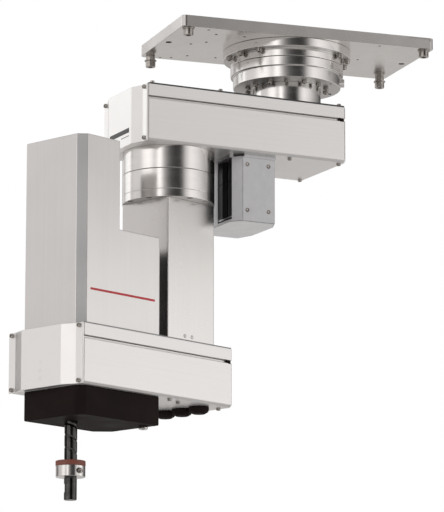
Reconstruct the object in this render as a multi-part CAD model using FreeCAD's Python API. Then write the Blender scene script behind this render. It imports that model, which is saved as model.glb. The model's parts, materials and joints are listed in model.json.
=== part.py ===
import FreeCAD, Part
import math
import os

# Ceiling-mounted SCARA robot arm, in millimetres.
#
# Origin: on the J1 axis, in the top (mounting) face of the base plate.
# +Z is up, so the whole arm hangs below Z = 0.  +X runs along the long side
# of the base plate.  Three frames are used for modelling:
#   base frame   origin on J1, axes as above
#   arm 1 frame  origin on J2, u towards J1, v across the arm
#   arm 2 frame  origin on J3, u towards J2, v across the arm
# All three share the same Z.

os.makedirs("parts", exist_ok=True)

# ---------------------------------------------------------------- dimensions

ARM_LENGTH = 175.0          # J1 to J2, and J2 to J3
ARM1_ANGLE = 6.84           # heading of arm 1 in the rest pose, degrees
ARM2_ANGLE = 27.55          # heading of arm 2 in the rest pose, degrees
RUN = 0.05                  # radial running clearance of a bore on its shaft
GAP = 0.4                   # gap between faces that pass each other

# Base plate
PLATE_X = 354.0
PLATE_Y = 172.5
PLATE_BOTTOM = -15.0
PLATE_CORNER = 6.0
BOLT_X = 166.0
BOLT_Y = 76.0
LOCATING_X = 166.5
LOCATING_R = 4.0

# J1 stack, from the plate down
FLANGE_R = 85.0
FLANGE_BOTTOM = -26.5
STATOR_R = 75.0
STATOR_BOTTOM = -37.2
ROTOR_TOP = STATOR_BOTTOM - GAP
ROTOR_STEP = -49.6
ROTOR_LOWER_R = 71.5
ROTOR_BOTTOM = -65.0
HUB_R = 45.0
HUB_PATH_R = 20.0           # way up through the hub for the gear's input
HUB_SCREW_R = 53.0
FLANGE_SCREW_R = 80.0
FLANGE_BORE_R = 56.0
TAPPED_R = 1.7

# J1 bearing and strain-wave gear
J1_BEARING_R = 62.0
J1_BEARING_SPLIT_R = 57.0
J1_BEARING_BORE_R = 52.0
J1_BEARING_TOP = -20.0
J1_SPLINE_R = 50.0
J1_SPLINE_BORE_R = 40.0
J1_SPLINE_BOTTOM = -25.0
J1_CUP_R = 39.6
J1_CUP_TOP = -15.4
J1_CUP_FLOOR = -34.0
J1_CUP_BORE_R = 15.0
J1_CAM_REACH = 37.9
J1_CAM_BOTTOM = -26.0
J1_CAM_TOP = -16.0
J1_INPUT_R = 8.0
CUP_WALL = 1.2              # flexspline wall, both gears
CAM_FLATTENING = 0.6        # long radius of a wave cam less its short one

# Arm housings: one extrusion section, used twice
WALL = 8.0
SIDE_WALL = 12.0
GROOVE_DROP = 15.2
GROOVE_HEIGHT = 4.6
GROOVE_DEPTH = 2.0
LID = 2.0
CAP_FLANGE = 3.0
CAP_RISE = 7.5

ARM1_HALF = 64.5
ARM1_TOP = -97.4
ARM1_BOTTOM = -172.1
ARM1_LEFT = -59.6
ARM1_RIGHT = 229.4

ARM2_HALF = 65.0
ARM2_TOP = -429.5
ARM2_BOTTOM = -505.5
ARM2_LEFT = -42.9
ARM2_RIGHT = 228.6

# J2 stack and column, centred on J2
J2_R = 60.0
J2_STATOR_BOTTOM = -202.3
J2_ROTOR_TOP = J2_STATOR_BOTTOM - GAP
J2_SPLIT = -229.6
COLUMN_TOP = -240.3
COLUMN_U = 88.0
COLUMN_V = 82.0
COLUMN_WALL = 10.0
COLUMN_SCREW_R = 55.3

# J2 bearing and strain-wave gear
J2_BEARING_R = 50.0
J2_BEARING_SPLIT_R = 45.0
J2_BEARING_BORE_R = 40.0
J2_BEARING_TOP = -188.0
J2_GEAR_ROOM_R = 42.0
J2_GEAR_TOP = -178.0
J2_SPLINE_R = 38.0
J2_SPLINE_BORE_R = 30.0
J2_SPLINE_BOTTOM = -187.0
J2_CUP_R = 29.6
J2_CUP_TOP = -178.6
J2_CUP_FLOOR = -199.0
J2_BORE_R = 12.0
J2_CAM_REACH = 27.9
J2_CAM_BOTTOM = -186.5
J2_CAM_TOP = -179.5
J2_INPUT_R = 7.0

# Motor box under arm 1 (arm 1 frame)
BOX_PLAN = [(70, -40), (82, -52), (129, -52), (138, -30),
            (138, 30), (129, 54), (82, 54), (70, 42)]
BOX_BOTTOM = -262.0
BOX_RIM = 5.0
SHEET = 1.5

# Motors and belt drives
MOTOR_SIDE = 42.0
MOTOR_LENGTH = 78.0
MOTOR_SHAFT_R = 4.0
MOTOR_CORNER = 4.0
MOTOR_WAIST_AT = 30.0       # groove round a motor, from its mounting face
MOTOR_BORE = 20.0           # depth of the pulley spindle's seat in a motor
BELT_WIDTH = 10.0
BELT_THICK = 1.5
PULLEY_FLANGE = 2.5
FLANGE_THICK = 1.2
MOTOR_PULLEY_R = 9.0
GEAR_PULLEY_R = 18.0
ARM1_BELT_TOP = -140.0
ARM1_MOTOR_U = 104.0
ARM1_MOTOR_V = 25.0

# Tall cover and bottom cover (arm 2 frame)
COVER_UPPER = [(-41, -47), (-31, -57), (27, -57), (27, 43), (-41, 43)]
COVER_LOWER = [(-41, -47), (-31, -57), (100, -57), (100, 25), (82, 43), (-41, 43)]
COVER_TOP = -188.5
COVER_STEP = -302.0
TRAY_BOTTOM = -542.0
TRAY_WALL = 2.5

# Tool shaft
SHAFT_R = 8.0
SHAFT_TOP = -240.0
SHAFT_BOTTOM = -640.2
SPLINE_WIDTH = 3.0
SPLINE_DEPTH = 1.2
DAMPER_TOP = -591.5
DAMPER_R = 18.7
COLLAR_R = 18.4
COLLAR_TOP = -597.9
COLLAR_BOTTOM = -611.8
COLLAR_TURN = -50.0         # heading of the clamp slit, degrees in the arm 2 frame
NUT_R = 16.0
NUT_PULLEY_R = 22.0
BALL_NUT_BOTTOM = -478.0
SPLINE_NUT_BOTTOM = -536.0
SPLINE_NUT_TOP = -500.0
KEY_CLEARANCE = 0.1
ARM2_MOTOR_U = 62.0
J3_MOTOR_V = -31.0
J4_MOTOR_V = 16.0
J3_BELT_TOP = -446.0
J4_BELT_TOP = -520.0

# Screws: shank radius, head radius, head height, hexagon socket radius
M3 = (1.5, 2.75, 3.0, 1.45)
M4 = (2.0, 3.5, 4.0, 1.75)
M5 = (2.5, 4.25, 5.0, 2.3)
M8 = (4.0, 6.5, 8.0, 3.45)

# -------------------------------------------------------------------- frames

Z_AXIS = FreeCAD.Vector(0, 0, 1)


def heading(angle, length):
    """End point of a step of the given length along a heading."""
    turn = math.radians(angle)
    return FreeCAD.Vector(length * math.cos(turn), length * math.sin(turn), 0)


J2 = heading(ARM1_ANGLE, -ARM_LENGTH)
J3 = J2 + heading(ARM2_ANGLE, -ARM_LENGTH)

BASE = FreeCAD.Placement()
ARM1 = FreeCAD.Placement(J2, FreeCAD.Rotation(Z_AXIS, ARM1_ANGLE))
ARM2 = FreeCAD.Placement(J3, FreeCAD.Rotation(Z_AXIS, ARM2_ANGLE))
COLUMN = FreeCAD.Placement(J2, FreeCAD.Rotation(Z_AXIS, ARM2_ANGLE))
ARM1_AT_J1 = FreeCAD.Placement(FreeCAD.Vector(), FreeCAD.Rotation(Z_AXIS, ARM1_ANGLE))


def save(name, frame, *shapes):
    """Move shapes from their own frame to the shared one and write one STEP file."""
    placed = []
    for shape in shapes:
        for solid in shape.Solids:
            moved = solid.copy()
            moved.Placement = frame.multiply(moved.Placement)
            placed.append(moved)
    result = placed[0] if len(placed) == 1 else Part.makeCompound(placed)
    result.exportStep("parts/" + name + ".step")


# ------------------------------------------------------------ shape builders


def vec(u, v, z):
    return FreeCAD.Vector(u, v, z)


def disc(radius, z_low, z_high, u=0.0, v=0.0):
    return Part.makeCylinder(radius, z_high - z_low, vec(u, v, z_low))


def ring(outer, inner, z_low, z_high, u=0.0, v=0.0):
    return disc(outer, z_low, z_high, u, v).cut(disc(inner, z_low - 1, z_high + 1, u, v))


def block(u_low, u_high, v_low, v_high, z_low, z_high):
    return Part.makeBox(u_high - u_low, v_high - v_low, z_high - z_low,
                        vec(u_low, v_low, z_low))


def prism(plan, z_low, z_high):
    """Upright prism over a closed plan outline of (u, v) corners."""
    corners = [vec(u, v, z_low) for u, v in plan]
    face = Part.Face(Part.makePolygon(corners + corners[:1]))
    return face.extrude(vec(0, 0, z_high - z_low))


def inset(plan, distance):
    """Plan outline (counter-clockwise) moved inwards by a constant distance."""
    lines = []
    for (u0, v0), (u1, v1) in zip(plan, plan[1:] + plan[:1]):
        length = math.hypot(u1 - u0, v1 - v0)
        du, dv = (u1 - u0) / length, (v1 - v0) / length
        lines.append((u0 - dv * distance, v0 + du * distance, du, dv))
    corners = []
    for (ua, va, dua, dva), (ub, vb, dub, dvb) in zip(lines[-1:] + lines[:-1], lines):
        cross = dua * dvb - dva * dub
        step = ((ub - ua) * dvb - (vb - va) * dub) / cross
        corners.append((ua + dua * step, va + dva * step))
    return corners


def rectangle(u_half, v_half, corner, u=0.0, v=0.0):
    """Rectangle plan with small 45 degree corners, counter-clockwise."""
    a, b, c = u_half, v_half, corner
    outline = [(-a + c, -b), (a - c, -b), (a, -b + c), (a, b - c),
               (a - c, b), (-a + c, b), (-a, b - c), (-a, -b + c)]
    return [(u + du, v + dv) for du, dv in outline]


def union(shapes):
    result = shapes[0]
    for shape in shapes[1:]:
        result = result.fuse(shape)
    return result.removeSplitter()


def polar(radius, angle):
    return radius * math.cos(math.radians(angle)), radius * math.sin(math.radians(angle))


def screw(size, length, origin, direction=(0, 0, 1)):
    """Socket-head cap screw: seat at origin, shank along direction, head behind it."""
    shank_r, head_r, head_h, socket_r = size
    axis = FreeCAD.Vector(*direction)
    back = FreeCAD.Vector(axis).multiply(-1)
    head = Part.makeCylinder(head_r, head_h, origin, back)
    shank = Part.makeCylinder(shank_r, length, origin, axis)
    turn = FreeCAD.Rotation(Z_AXIS, back)
    rim = [turn.multVec(vec(*polar(socket_r, 60 * i), head_h)) + origin for i in range(7)]
    socket = Part.Face(Part.makePolygon(rim)).extrude(axis * (0.55 * head_h))
    return head.cut(socket).fuse(shank).removeSplitter()


def screws_below(size, length, seat, spots):
    """Screws driven upwards into a face whose height is seat."""
    return [screw(size, length, vec(u, v, seat)) for u, v in spots]


def screws_in_end(size, length, u_seat, spots):
    """Screws driven along +u into a face at u_seat; spots are (v, z)."""
    return [screw(size, length, vec(u_seat, v, z), (1, 0, 0)) for v, z in spots]


def belt_path(radius_a, radius_b, a, b, z_low, z_high):
    """Solid outline of two discs joined by their outer tangents."""
    span = math.hypot(b[0] - a[0], b[1] - a[1])
    line = math.atan2(b[1] - a[1], b[0] - a[0])
    open_angle = math.acos((radius_a - radius_b) / span)

    def rim(centre, radius, turn):
        return (centre[0] + radius * math.cos(line + turn),
                centre[1] + radius * math.sin(line + turn))

    corners = [rim(a, radius_a, open_angle), rim(a, radius_a, -open_angle),
               rim(b, radius_b, -open_angle), rim(b, radius_b, open_angle)]
    bridge = prism(corners, z_low, z_high)
    return union([bridge, disc(radius_a, z_low, z_high, *a), disc(radius_b, z_low, z_high, *b)])


def belt(radius_a, radius_b, a, b, z_high):
    """Belt round two pulleys, standing clear of both by the passing gap."""
    z_low = z_high - BELT_WIDTH
    grow = GAP + BELT_THICK
    outer = belt_path(radius_a + grow, radius_b + grow, a, b, z_low, z_high)
    inner = belt_path(radius_a + GAP, radius_b + GAP, a, b, z_low - 1, z_high + 1)
    return outer.cut(inner)


def pulley(radius, bore, centre, belt_top):
    """Flanged pulley for a belt whose upper edge is at belt_top."""
    top = belt_top + GAP
    bottom = belt_top - BELT_WIDTH - GAP
    body = disc(radius, bottom, top, *centre)
    upper = disc(radius + PULLEY_FLANGE, top, top + FLANGE_THICK, *centre)
    lower = disc(radius + PULLEY_FLANGE, bottom - FLANGE_THICK, bottom, *centre)
    wheel = union([body, upper, lower])
    return wheel.cut(disc(bore, bottom - 2, top + 2, *centre)) if bore else wheel


def motor(centre, z_front, down):
    """Square motor; z_front is its mounting face and the body runs away from it."""
    away = -1 if down else 1
    half = MOTOR_SIDE / 2
    z_low, z_high = sorted((z_front, z_front + away * MOTOR_LENGTH))
    body = prism(rectangle(half, half, MOTOR_CORNER, *centre), z_low, z_high)
    z_joint = z_front + away * MOTOR_WAIST_AT
    waist = prism(rectangle(half, half, MOTOR_CORNER, *centre), z_joint - 1, z_joint + 1)
    core = prism(rectangle(half - 1, half - 1, MOTOR_CORNER, *centre), z_joint - 2, z_joint + 2)
    body = body.cut(waist.cut(core))
    bore_low, bore_high = sorted((z_front, z_front + away * MOTOR_BORE))
    return body.cut(disc(MOTOR_SHAFT_R + RUN, bore_low - 1, bore_high + 1, *centre))


def flexspline(radius, bore, z_floor, z_rim, z_end):
    """Thin cup open at the top, with a thick floor from z_end up to z_floor."""
    wall = ring(radius, radius - CUP_WALL, z_floor, z_rim)
    return union([wall, ring(radius, bore, z_end, z_floor)])


def wave_generator(reach, shaft_r, z_low, z_high, z_bottom, z_top):
    """Slightly oval cam between z_low and z_high on its input shaft."""
    turns = [math.radians(5 * i) for i in range(72)]
    oval = [(reach * math.cos(t), (reach - CAM_FLATTENING) * math.sin(t)) for t in turns]
    return union([prism(oval, z_low, z_high), disc(shaft_r, z_bottom, z_top)])


def arm_housing(u_left, u_right, half, z_top, z_bottom):
    """Grooved extrusion closed at its right end and open at its left end."""
    groove_top = z_top - GROOVE_DROP
    side = [(half, z_top), (half, groove_top), (half - GROOVE_DEPTH, groove_top),
            (half, groove_top - GROOVE_HEIGHT), (half, z_bottom + 3), (half - 3, z_bottom)]
    section = side + [(-v, z) for v, z in reversed(side)]
    corners = [vec(u_left, v, z) for v, z in section]
    body = Part.Face(Part.makePolygon(corners + corners[:1])).extrude(
        vec(u_right - u_left, 0, 0))
    plan = [(u_left, -half - 1), (u_right - 4, -half - 1), (u_right, -half + 3),
            (u_right, half - 3), (u_right - 4, half + 1), (u_left, half + 1)]
    body = body.common(prism(plan, z_bottom - 1, z_top + 1))
    cavity = block(u_left - 1, u_right - WALL, -half + SIDE_WALL, half - SIDE_WALL,
                   z_bottom + WALL, z_top - WALL)
    body = body.cut(cavity)
    for edge in (-1, 1):
        v_low, v_high = sorted((edge * half, edge * (half - 4.0)))
        notch = block(u_right - 9.4, u_right - 1.9, v_low, v_high,
                      groove_top - 5.0, groove_top)
        body = body.cut(notch)
    return body


def end_cap(u_seat, half, z_top, z_bottom):
    """Shallow tray that closes the left end of an arm."""
    face = u_seat - CAP_FLANGE
    front = face - CAP_RISE
    outside = [(u_seat, -half), (u_seat, half), (face, half), (face, half - 12),
               (front, half - 30), (front, -half + 30), (face, -half + 12), (face, -half)]
    inside = [(u_seat + 1, -half + 13), (u_seat + 1, half - 13), (face + 2, half - 15),
              (front + 3, half - 31), (front + 3, -half + 31), (face + 2, -half + 15)]
    tray = prism(outside, z_bottom, z_top)
    return tray.cut(prism(inside, z_bottom + 3, z_top - 3))


def cap_spots(half, z_top, z_bottom):
    """Corner screw positions (v, z) shared by both end caps."""
    return [(v, z) for v in (6 - half, half - 6) for z in (z_top - 3.8, z_bottom + 3.8)]


# ----------------------------------------------------------------- base body

bolt_spots = [(u, v) for u in (-BOLT_X, BOLT_X) for v in (-BOLT_Y, BOLT_Y)]
plate_bolts = []
for u, v in bolt_spots:
    drop = 6.0 if v > 0 else 0.0
    seat = PLATE_BOTTOM - drop - 1.6
    bolt = screw(M8, -seat, vec(u, v, seat))
    washer = disc(8.0, seat, seat + 1.6, u, v)
    collar = [disc(6.0, PLATE_BOTTOM - drop, PLATE_BOTTOM, u, v)] if drop else []
    plate_bolts.append(union([bolt, washer] + collar))

flange_angles = [first + 22.5 * i for first in (64.0, 177.0, 311.5) for i in range(3)]
flange_screws = screws_below(M5, 9.0, FLANGE_BOTTOM,
                             [polar(FLANGE_SCREW_R, angle) for angle in flange_angles])

plate = prism(rectangle(PLATE_X / 2, PLATE_Y / 2, PLATE_CORNER), PLATE_BOTTOM, 0)
for u in (-LOCATING_X, LOCATING_X):
    plate = plate.cut(disc(LOCATING_R, PLATE_BOTTOM - 1, 1, u, 0))
tapped_spots = [(-136, -1.5), (-138, -76), (-121, -58), (-82.5, -60), (-120, -17),
                (-151, 80), (-137, 75), (-120, 58), (-81, 55), (102, -77), (102, -1)]
for u, v in tapped_spots:
    plate = plate.cut(disc(TAPPED_R, PLATE_BOTTOM - 1, PLATE_BOTTOM + 10, u, v))
for bolt in plate_bolts:
    plate = plate.cut(bolt)

fixed_flange = union([disc(FLANGE_R, FLANGE_BOTTOM, PLATE_BOTTOM),
                      disc(STATOR_R, STATOR_BOTTOM, PLATE_BOTTOM)])
fixed_flange = fixed_flange.cut(disc(FLANGE_BORE_R, STATOR_BOTTOM - 1, PLATE_BOTTOM + 1))
fixed_flange = fixed_flange.cut(disc(J1_BEARING_R, STATOR_BOTTOM - 1, J1_BEARING_TOP))
for item in flange_screws:
    fixed_flange = fixed_flange.cut(item)
oil_hole = Part.makeCylinder(1.4, 8, vec(0, 0, -32), vec(*polar(1, -92.3), 0))
oil_hole.translate(vec(*polar(STATOR_R - 6, -92.3), 0))
fixed_flange = fixed_flange.cut(oil_hole)

save("base_plate", BASE, plate)
save("plate_bolts", BASE, *plate_bolts)
save("j1_fixed_flange", BASE, fixed_flange)
save("j1_flange_screws", BASE, *flange_screws)
save("j1_bearing_outer", BASE,
     ring(J1_BEARING_R, J1_BEARING_SPLIT_R + RUN, STATOR_BOTTOM, J1_BEARING_TOP))
save("j1_circular_spline", BASE,
     ring(J1_SPLINE_R, J1_SPLINE_BORE_R, J1_SPLINE_BOTTOM, PLATE_BOTTOM))

# ------------------------------------------- J1 turning parts (J1, arm 1 body)

hub_angles = [165 + 360 * i / 14 for i in range(14)]
hub_screws = screws_below(M4, 12.0, ROTOR_BOTTOM,
                          [polar(HUB_SCREW_R, angle) for angle in hub_angles])

turning_ring = union([disc(STATOR_R, ROTOR_STEP, ROTOR_TOP),
                      disc(ROTOR_LOWER_R, ROTOR_BOTTOM, ROTOR_STEP),
                      disc(HUB_R, ARM1_TOP, ROTOR_BOTTOM)])
turning_ring = turning_ring.cut(disc(J1_INPUT_R + RUN, ARM1_TOP - 1, ROTOR_TOP + 1))
turning_ring = turning_ring.cut(disc(HUB_PATH_R, ARM1_TOP - 1, ROTOR_STEP))
turning_ring = turning_ring.cut(disc(3.2, ROTOR_BOTTOM - 1, ROTOR_BOTTOM + 8, *polar(62.5, -3)))
turning_ring = turning_ring.cut(disc(TAPPED_R, ROTOR_BOTTOM - 1, ROTOR_BOTTOM + 8, *polar(65, -55)))
for item in hub_screws:
    turning_ring = turning_ring.cut(item)
plug_out = vec(*polar(1, -28), 0)
plug = Part.makeCylinder(5.5, 8, vec(*polar(ROTOR_LOWER_R - 3, -28), -57), plug_out)
turning_ring = turning_ring.cut(plug)

save("j1_turning_ring", ARM1_AT_J1, turning_ring)
save("j1_hub_screws", ARM1_AT_J1, *hub_screws)
save("j1_plug", ARM1_AT_J1, plug)
save("j1_bearing_inner", ARM1_AT_J1,
     ring(J1_BEARING_SPLIT_R, J1_BEARING_BORE_R, ROTOR_TOP, J1_BEARING_TOP - GAP))
save("j1_flexspline", ARM1_AT_J1,
     flexspline(J1_CUP_R, J1_CUP_BORE_R, J1_CUP_FLOOR, J1_CUP_TOP, ROTOR_TOP))
save("j1_wave_generator", ARM1_AT_J1,
     wave_generator(J1_CAM_REACH, J1_INPUT_R, J1_CAM_BOTTOM, J1_CAM_TOP,
                    ARM1_BELT_TOP - BELT_WIDTH - 2, J1_CAM_TOP))
save("j1_input_pulley", ARM1_AT_J1,
     pulley(GEAR_PULLEY_R, J1_INPUT_R, (0, 0), ARM1_BELT_TOP))

# --------------------------------------------------------------------- arm 1

j1_spot = (ARM_LENGTH, 0.0)
j2_spot = (0.0, 0.0)
motor_spots = [(ARM1_MOTOR_U, -ARM1_MOTOR_V), (ARM1_MOTOR_U, ARM1_MOTOR_V)]

cap1 = end_cap(ARM1_LEFT, ARM1_HALF, ARM1_TOP, ARM1_BOTTOM)
cap1_screws = screws_in_end(M3, 12.0, ARM1_LEFT - CAP_FLANGE,
                            cap_spots(ARM1_HALF, ARM1_TOP, ARM1_BOTTOM))
lid_spots = [(u, v) for u in (-52, 46) for v in (-59, 59)] + [(222, -58), (222, 58)]
lid_screws = [screw(M3, 8.0, vec(u, v, ARM1_TOP + LID), (0, 0, -1)) for u, v in lid_spots]
cover1_spots = [(u, v) for u in (150, 223) for v in (-54, 54)]
cover1_screws = screws_below(M3, 8.0, ARM1_BOTTOM, cover1_spots)
arm1_screws = cap1_screws + lid_screws + cover1_screws

lid = prism(rectangle(0.5 * (ARM1_RIGHT - ARM1_LEFT) - 1, ARM1_HALF - 1, 3,
                      0.5 * (ARM1_RIGHT + ARM1_LEFT), 0), ARM1_TOP, ARM1_TOP + LID)
lid = lid.cut(disc(HUB_R + 1, ARM1_TOP - 1, ARM1_TOP + LID + 1, *j1_spot))

cover1 = prism(rectangle(40, 58, 5, 186, 0), ARM1_BOTTOM, ARM1_BOTTOM + 3)

housing1 = arm_housing(ARM1_LEFT, ARM1_RIGHT, ARM1_HALF, ARM1_TOP, ARM1_BOTTOM)
housing1 = housing1.cut(disc(HUB_PATH_R, ARM1_TOP - 20, ARM1_TOP + 1, *j1_spot))
housing1 = housing1.cut(disc(20, ARM1_BOTTOM - 1, ARM1_BOTTOM + 20, *j2_spot))
housing1 = housing1.cut(cover1)
for spot in motor_spots:
    housing1 = housing1.cut(disc(11, ARM1_BOTTOM - 1, ARM1_BOTTOM + 20, *spot))
for item in arm1_screws:
    housing1 = housing1.cut(item)
    cap1 = cap1.cut(item)
    lid = lid.cut(item)
    cover1 = cover1.cut(item)

box_outer = prism(BOX_PLAN, BOX_BOTTOM, ARM1_BOTTOM)
box_rim = prism(inset(BOX_PLAN, -1.2), ARM1_BOTTOM - BOX_RIM, ARM1_BOTTOM)
box_inner = prism(inset(BOX_PLAN, SHEET), BOX_BOTTOM + SHEET, ARM1_BOTTOM + 1)
box_window = block(60, 84, -38, 40, BOX_BOTTOM + 12, ARM1_BOTTOM - BOX_RIM)
box_post = block(70, 71.5, -4, 14, BOX_BOTTOM + 1, ARM1_BOTTOM - 1)
motor_box = union([box_outer, box_rim]).cut(box_inner).cut(box_window)
motor_box = union([motor_box, box_post])
motor_foot = block(80, 127, -47, 47, BOX_BOTTOM + SHEET, ARM1_BOTTOM - MOTOR_LENGTH)
motor_foot = motor_foot.cut(block(79, 124, -44, 44, BOX_BOTTOM + 3.5, ARM1_BOTTOM - MOTOR_LENGTH - 2))
box_front = [(u, z) for u in (89, 120) for z in (-186.4, -247.0)]
box_screws = [screw(M3, 1.5, vec(u, side * (52 if side < 0 else 54), z), (0, -side, 0))
              for side in (-1, 1) for u, z in box_front]
for item in box_screws:
    motor_box = motor_box.cut(item)

save("arm1_housing", ARM1, housing1)
save("arm1_top_sheet", ARM1, lid)
save("arm1_end_cap", ARM1, cap1)
save("arm1_bottom_cover", ARM1, cover1)
save("arm1_cover_screws", ARM1, *arm1_screws)
save("motor_box", ARM1, motor_box)
save("motor_foot", ARM1, motor_foot)
save("motor_box_screws", ARM1, *box_screws)

for name, spot, hub in (("j1", motor_spots[0], j1_spot), ("j2", motor_spots[1], j2_spot)):
    save(name + "_motor", ARM1, motor(spot, ARM1_BOTTOM, True))
    save(name + "_belt", ARM1, belt(GEAR_PULLEY_R, MOTOR_PULLEY_R, hub, spot, ARM1_BELT_TOP))
    spindle = disc(MOTOR_SHAFT_R, ARM1_BOTTOM - MOTOR_BORE + 1,
                   ARM1_BELT_TOP + GAP + FLANGE_THICK, *spot)
    save(name + "_motor_pulley", ARM1,
         union([pulley(MOTOR_PULLEY_R, 0, spot, ARM1_BELT_TOP), spindle]))

# ------------------------------------------------------------------ J2 stack

j2_housing = disc(J2_R, J2_STATOR_BOTTOM, ARM1_BOTTOM)
j2_housing = j2_housing.cut(disc(J2_GEAR_ROOM_R, J2_STATOR_BOTTOM - 1, J2_GEAR_TOP))
j2_housing = j2_housing.cut(disc(J2_BEARING_R, J2_STATOR_BOTTOM - 1, J2_BEARING_TOP))
j2_housing = j2_housing.cut(disc(J2_INPUT_R + RUN, J2_GEAR_TOP - 2, ARM1_BOTTOM + 1))
save("j2_housing", ARM1, j2_housing)
save("j2_bearing_outer", ARM1,
     ring(J2_BEARING_R, J2_BEARING_SPLIT_R + RUN, J2_STATOR_BOTTOM, J2_BEARING_TOP))
save("j2_circular_spline", ARM1,
     ring(J2_SPLINE_R, J2_SPLINE_BORE_R, J2_SPLINE_BOTTOM, J2_GEAR_TOP))
save("j2_wave_generator", ARM1,
     wave_generator(J2_CAM_REACH, J2_INPUT_R, J2_CAM_BOTTOM, J2_CAM_TOP,
                    J2_CAM_BOTTOM, ARM1_BELT_TOP + GAP + FLANGE_THICK))
save("j2_input_pulley", ARM1, pulley(GEAR_PULLEY_R, J2_INPUT_R, (0, 0), ARM1_BELT_TOP))
save("j2_flexspline", COLUMN,
     flexspline(J2_CUP_R, J2_BORE_R, J2_CUP_FLOOR, J2_CUP_TOP, J2_ROTOR_TOP))
save("j2_bearing_inner", COLUMN,
     ring(J2_BEARING_SPLIT_R, J2_BEARING_BORE_R, J2_ROTOR_TOP, J2_BEARING_TOP - GAP))

column_angles = [90 * i + side * 17 for i in range(4) for side in (-1, 1)]
column_spots = [polar(COLUMN_SCREW_R, angle) for angle in column_angles]
ring_screws = [screw(M4, 14.0, vec(u, v, COLUMN_TOP + 5)) for u, v in column_spots]
turning_ring = ring(J2_R, J2_BORE_R, J2_SPLIT, J2_ROTOR_TOP)
side_hole = Part.makeCylinder(2.2, 12, vec(0, -J2_R - 1, -213), vec(0, 1, 0))
side_hole.rotate(vec(0, 0, 0), Z_AXIS, 37)
turning_ring = turning_ring.cut(side_hole)
column_flange = ring(J2_R, J2_BORE_R, COLUMN_TOP, J2_SPLIT)
for u, v in column_spots:
    column_flange = column_flange.cut(disc(4.2, COLUMN_TOP - 1, COLUMN_TOP + 5, u, v))
for item in ring_screws:
    turning_ring = turning_ring.cut(item)
    column_flange = column_flange.cut(item)
save("j2_turning_ring", COLUMN, turning_ring)
save("column_flange", COLUMN, column_flange)
save("column_flange_screws", COLUMN, *ring_screws)

column = prism(rectangle(COLUMN_U / 2, COLUMN_V / 2, 2), ARM2_TOP, COLUMN_TOP)
column = column.cut(block(-COLUMN_U / 2 + COLUMN_WALL, COLUMN_U / 2 - COLUMN_WALL,
                          -COLUMN_V / 2 + COLUMN_WALL, COLUMN_V / 2 - COLUMN_WALL,
                          ARM2_TOP - 1, COLUMN_TOP + 1))
foot_screws = [screw(M3, 8.0, vec(u, side * COLUMN_V / 2, ARM2_TOP + 11.5), (0, -side, 0))
               for u in (-11.6, 1.6) for side in (-1, 1)]
for item in foot_screws:
    column = column.cut(item)
save("column", COLUMN, column)
save("column_screws", COLUMN, *foot_screws)

# --------------------------------------------------------------------- arm 2

column_spot = (ARM_LENGTH, 0.0)
cap2 = end_cap(ARM2_LEFT, ARM2_HALF, ARM2_TOP, ARM2_BOTTOM)
cap2_screws = screws_in_end(M3, 12.0, ARM2_LEFT - CAP_FLANGE,
                            cap_spots(ARM2_HALF, ARM2_TOP, ARM2_BOTTOM))
cover2_plan = [(104, -61), (212, -61), (226, -50), (226, 50), (212, 61), (104, 61)]
cover2 = prism(cover2_plan, ARM2_BOTTOM, ARM2_BOTTOM + 3)
cover2_spots = [(118, -57), (118, 57), (144, -47), (144, 47), (220, -47), (220, 47)]
cover2_screws = screws_below(M3, 8.0, ARM2_BOTTOM, cover2_spots)
arm2_screws = cap2_screws + cover2_screws

housing2 = arm_housing(ARM2_LEFT, ARM2_RIGHT, ARM2_HALF, ARM2_TOP, ARM2_BOTTOM)
housing2 = housing2.cut(disc(NUT_R + RUN, ARM2_BOTTOM - 1, ARM2_TOP + 1))
housing2 = housing2.cut(disc(J2_BORE_R, ARM2_TOP - 20, ARM2_TOP + 1, *column_spot))
housing2 = housing2.cut(disc(7, ARM2_TOP - 20, ARM2_TOP + 1, ARM2_MOTOR_U, J3_MOTOR_V))
housing2 = housing2.cut(disc(7, ARM2_BOTTOM - 1, ARM2_TOP + 1, ARM2_MOTOR_U, J4_MOTOR_V))
housing2 = housing2.cut(cover2)

gland_spots = [(195, 23), (195, -6.5), (195, -36)]
glands = []
for u, v in gland_spots:
    body = union([disc(13.0, ARM2_BOTTOM - 9.2, ARM2_BOTTOM, u, v),
                  disc(9.0, ARM2_BOTTOM, ARM2_BOTTOM + 12, u, v)])
    glands.append(body)
for item in arm2_screws + glands:
    housing2 = housing2.cut(item)
    cover2 = cover2.cut(item)
    cap2 = cap2.cut(item)

save("arm2_housing", ARM2, housing2)
save("arm2_end_cap", ARM2, cap2)
save("arm2_bottom_cover", ARM2, cover2)
save("arm2_cover_screws", ARM2, *arm2_screws)
save("cable_glands", ARM2, *glands)

# Tall stepped sheet-metal cover over the motors and the tool shaft
tall_outer = union([prism(COVER_UPPER, COVER_STEP, COVER_TOP),
                    prism(COVER_LOWER, ARM2_TOP, COVER_STEP)])
tall_inner = union([prism(inset(COVER_UPPER, SHEET), ARM2_TOP - 1, COVER_TOP - SHEET),
                    prism(inset(COVER_LOWER, SHEET), ARM2_TOP - 1, COVER_STEP - SHEET)])
save("tall_cover", ARM2, tall_outer.cut(tall_inner))

tray_outer = prism(COVER_LOWER, TRAY_BOTTOM, ARM2_BOTTOM)
tray_inner = prism(inset(COVER_LOWER, TRAY_WALL), TRAY_BOTTOM + TRAY_WALL, ARM2_BOTTOM + 1)
tray = tray_outer.cut(tray_inner).cut(disc(SHAFT_R + 0.6, TRAY_BOTTOM - 1, ARM2_BOTTOM))
boss = disc(5.5, TRAY_BOTTOM - 4, TRAY_BOTTOM + 6, 90, -38)
save("bottom_cover", ARM2, union([tray, boss]))

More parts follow.
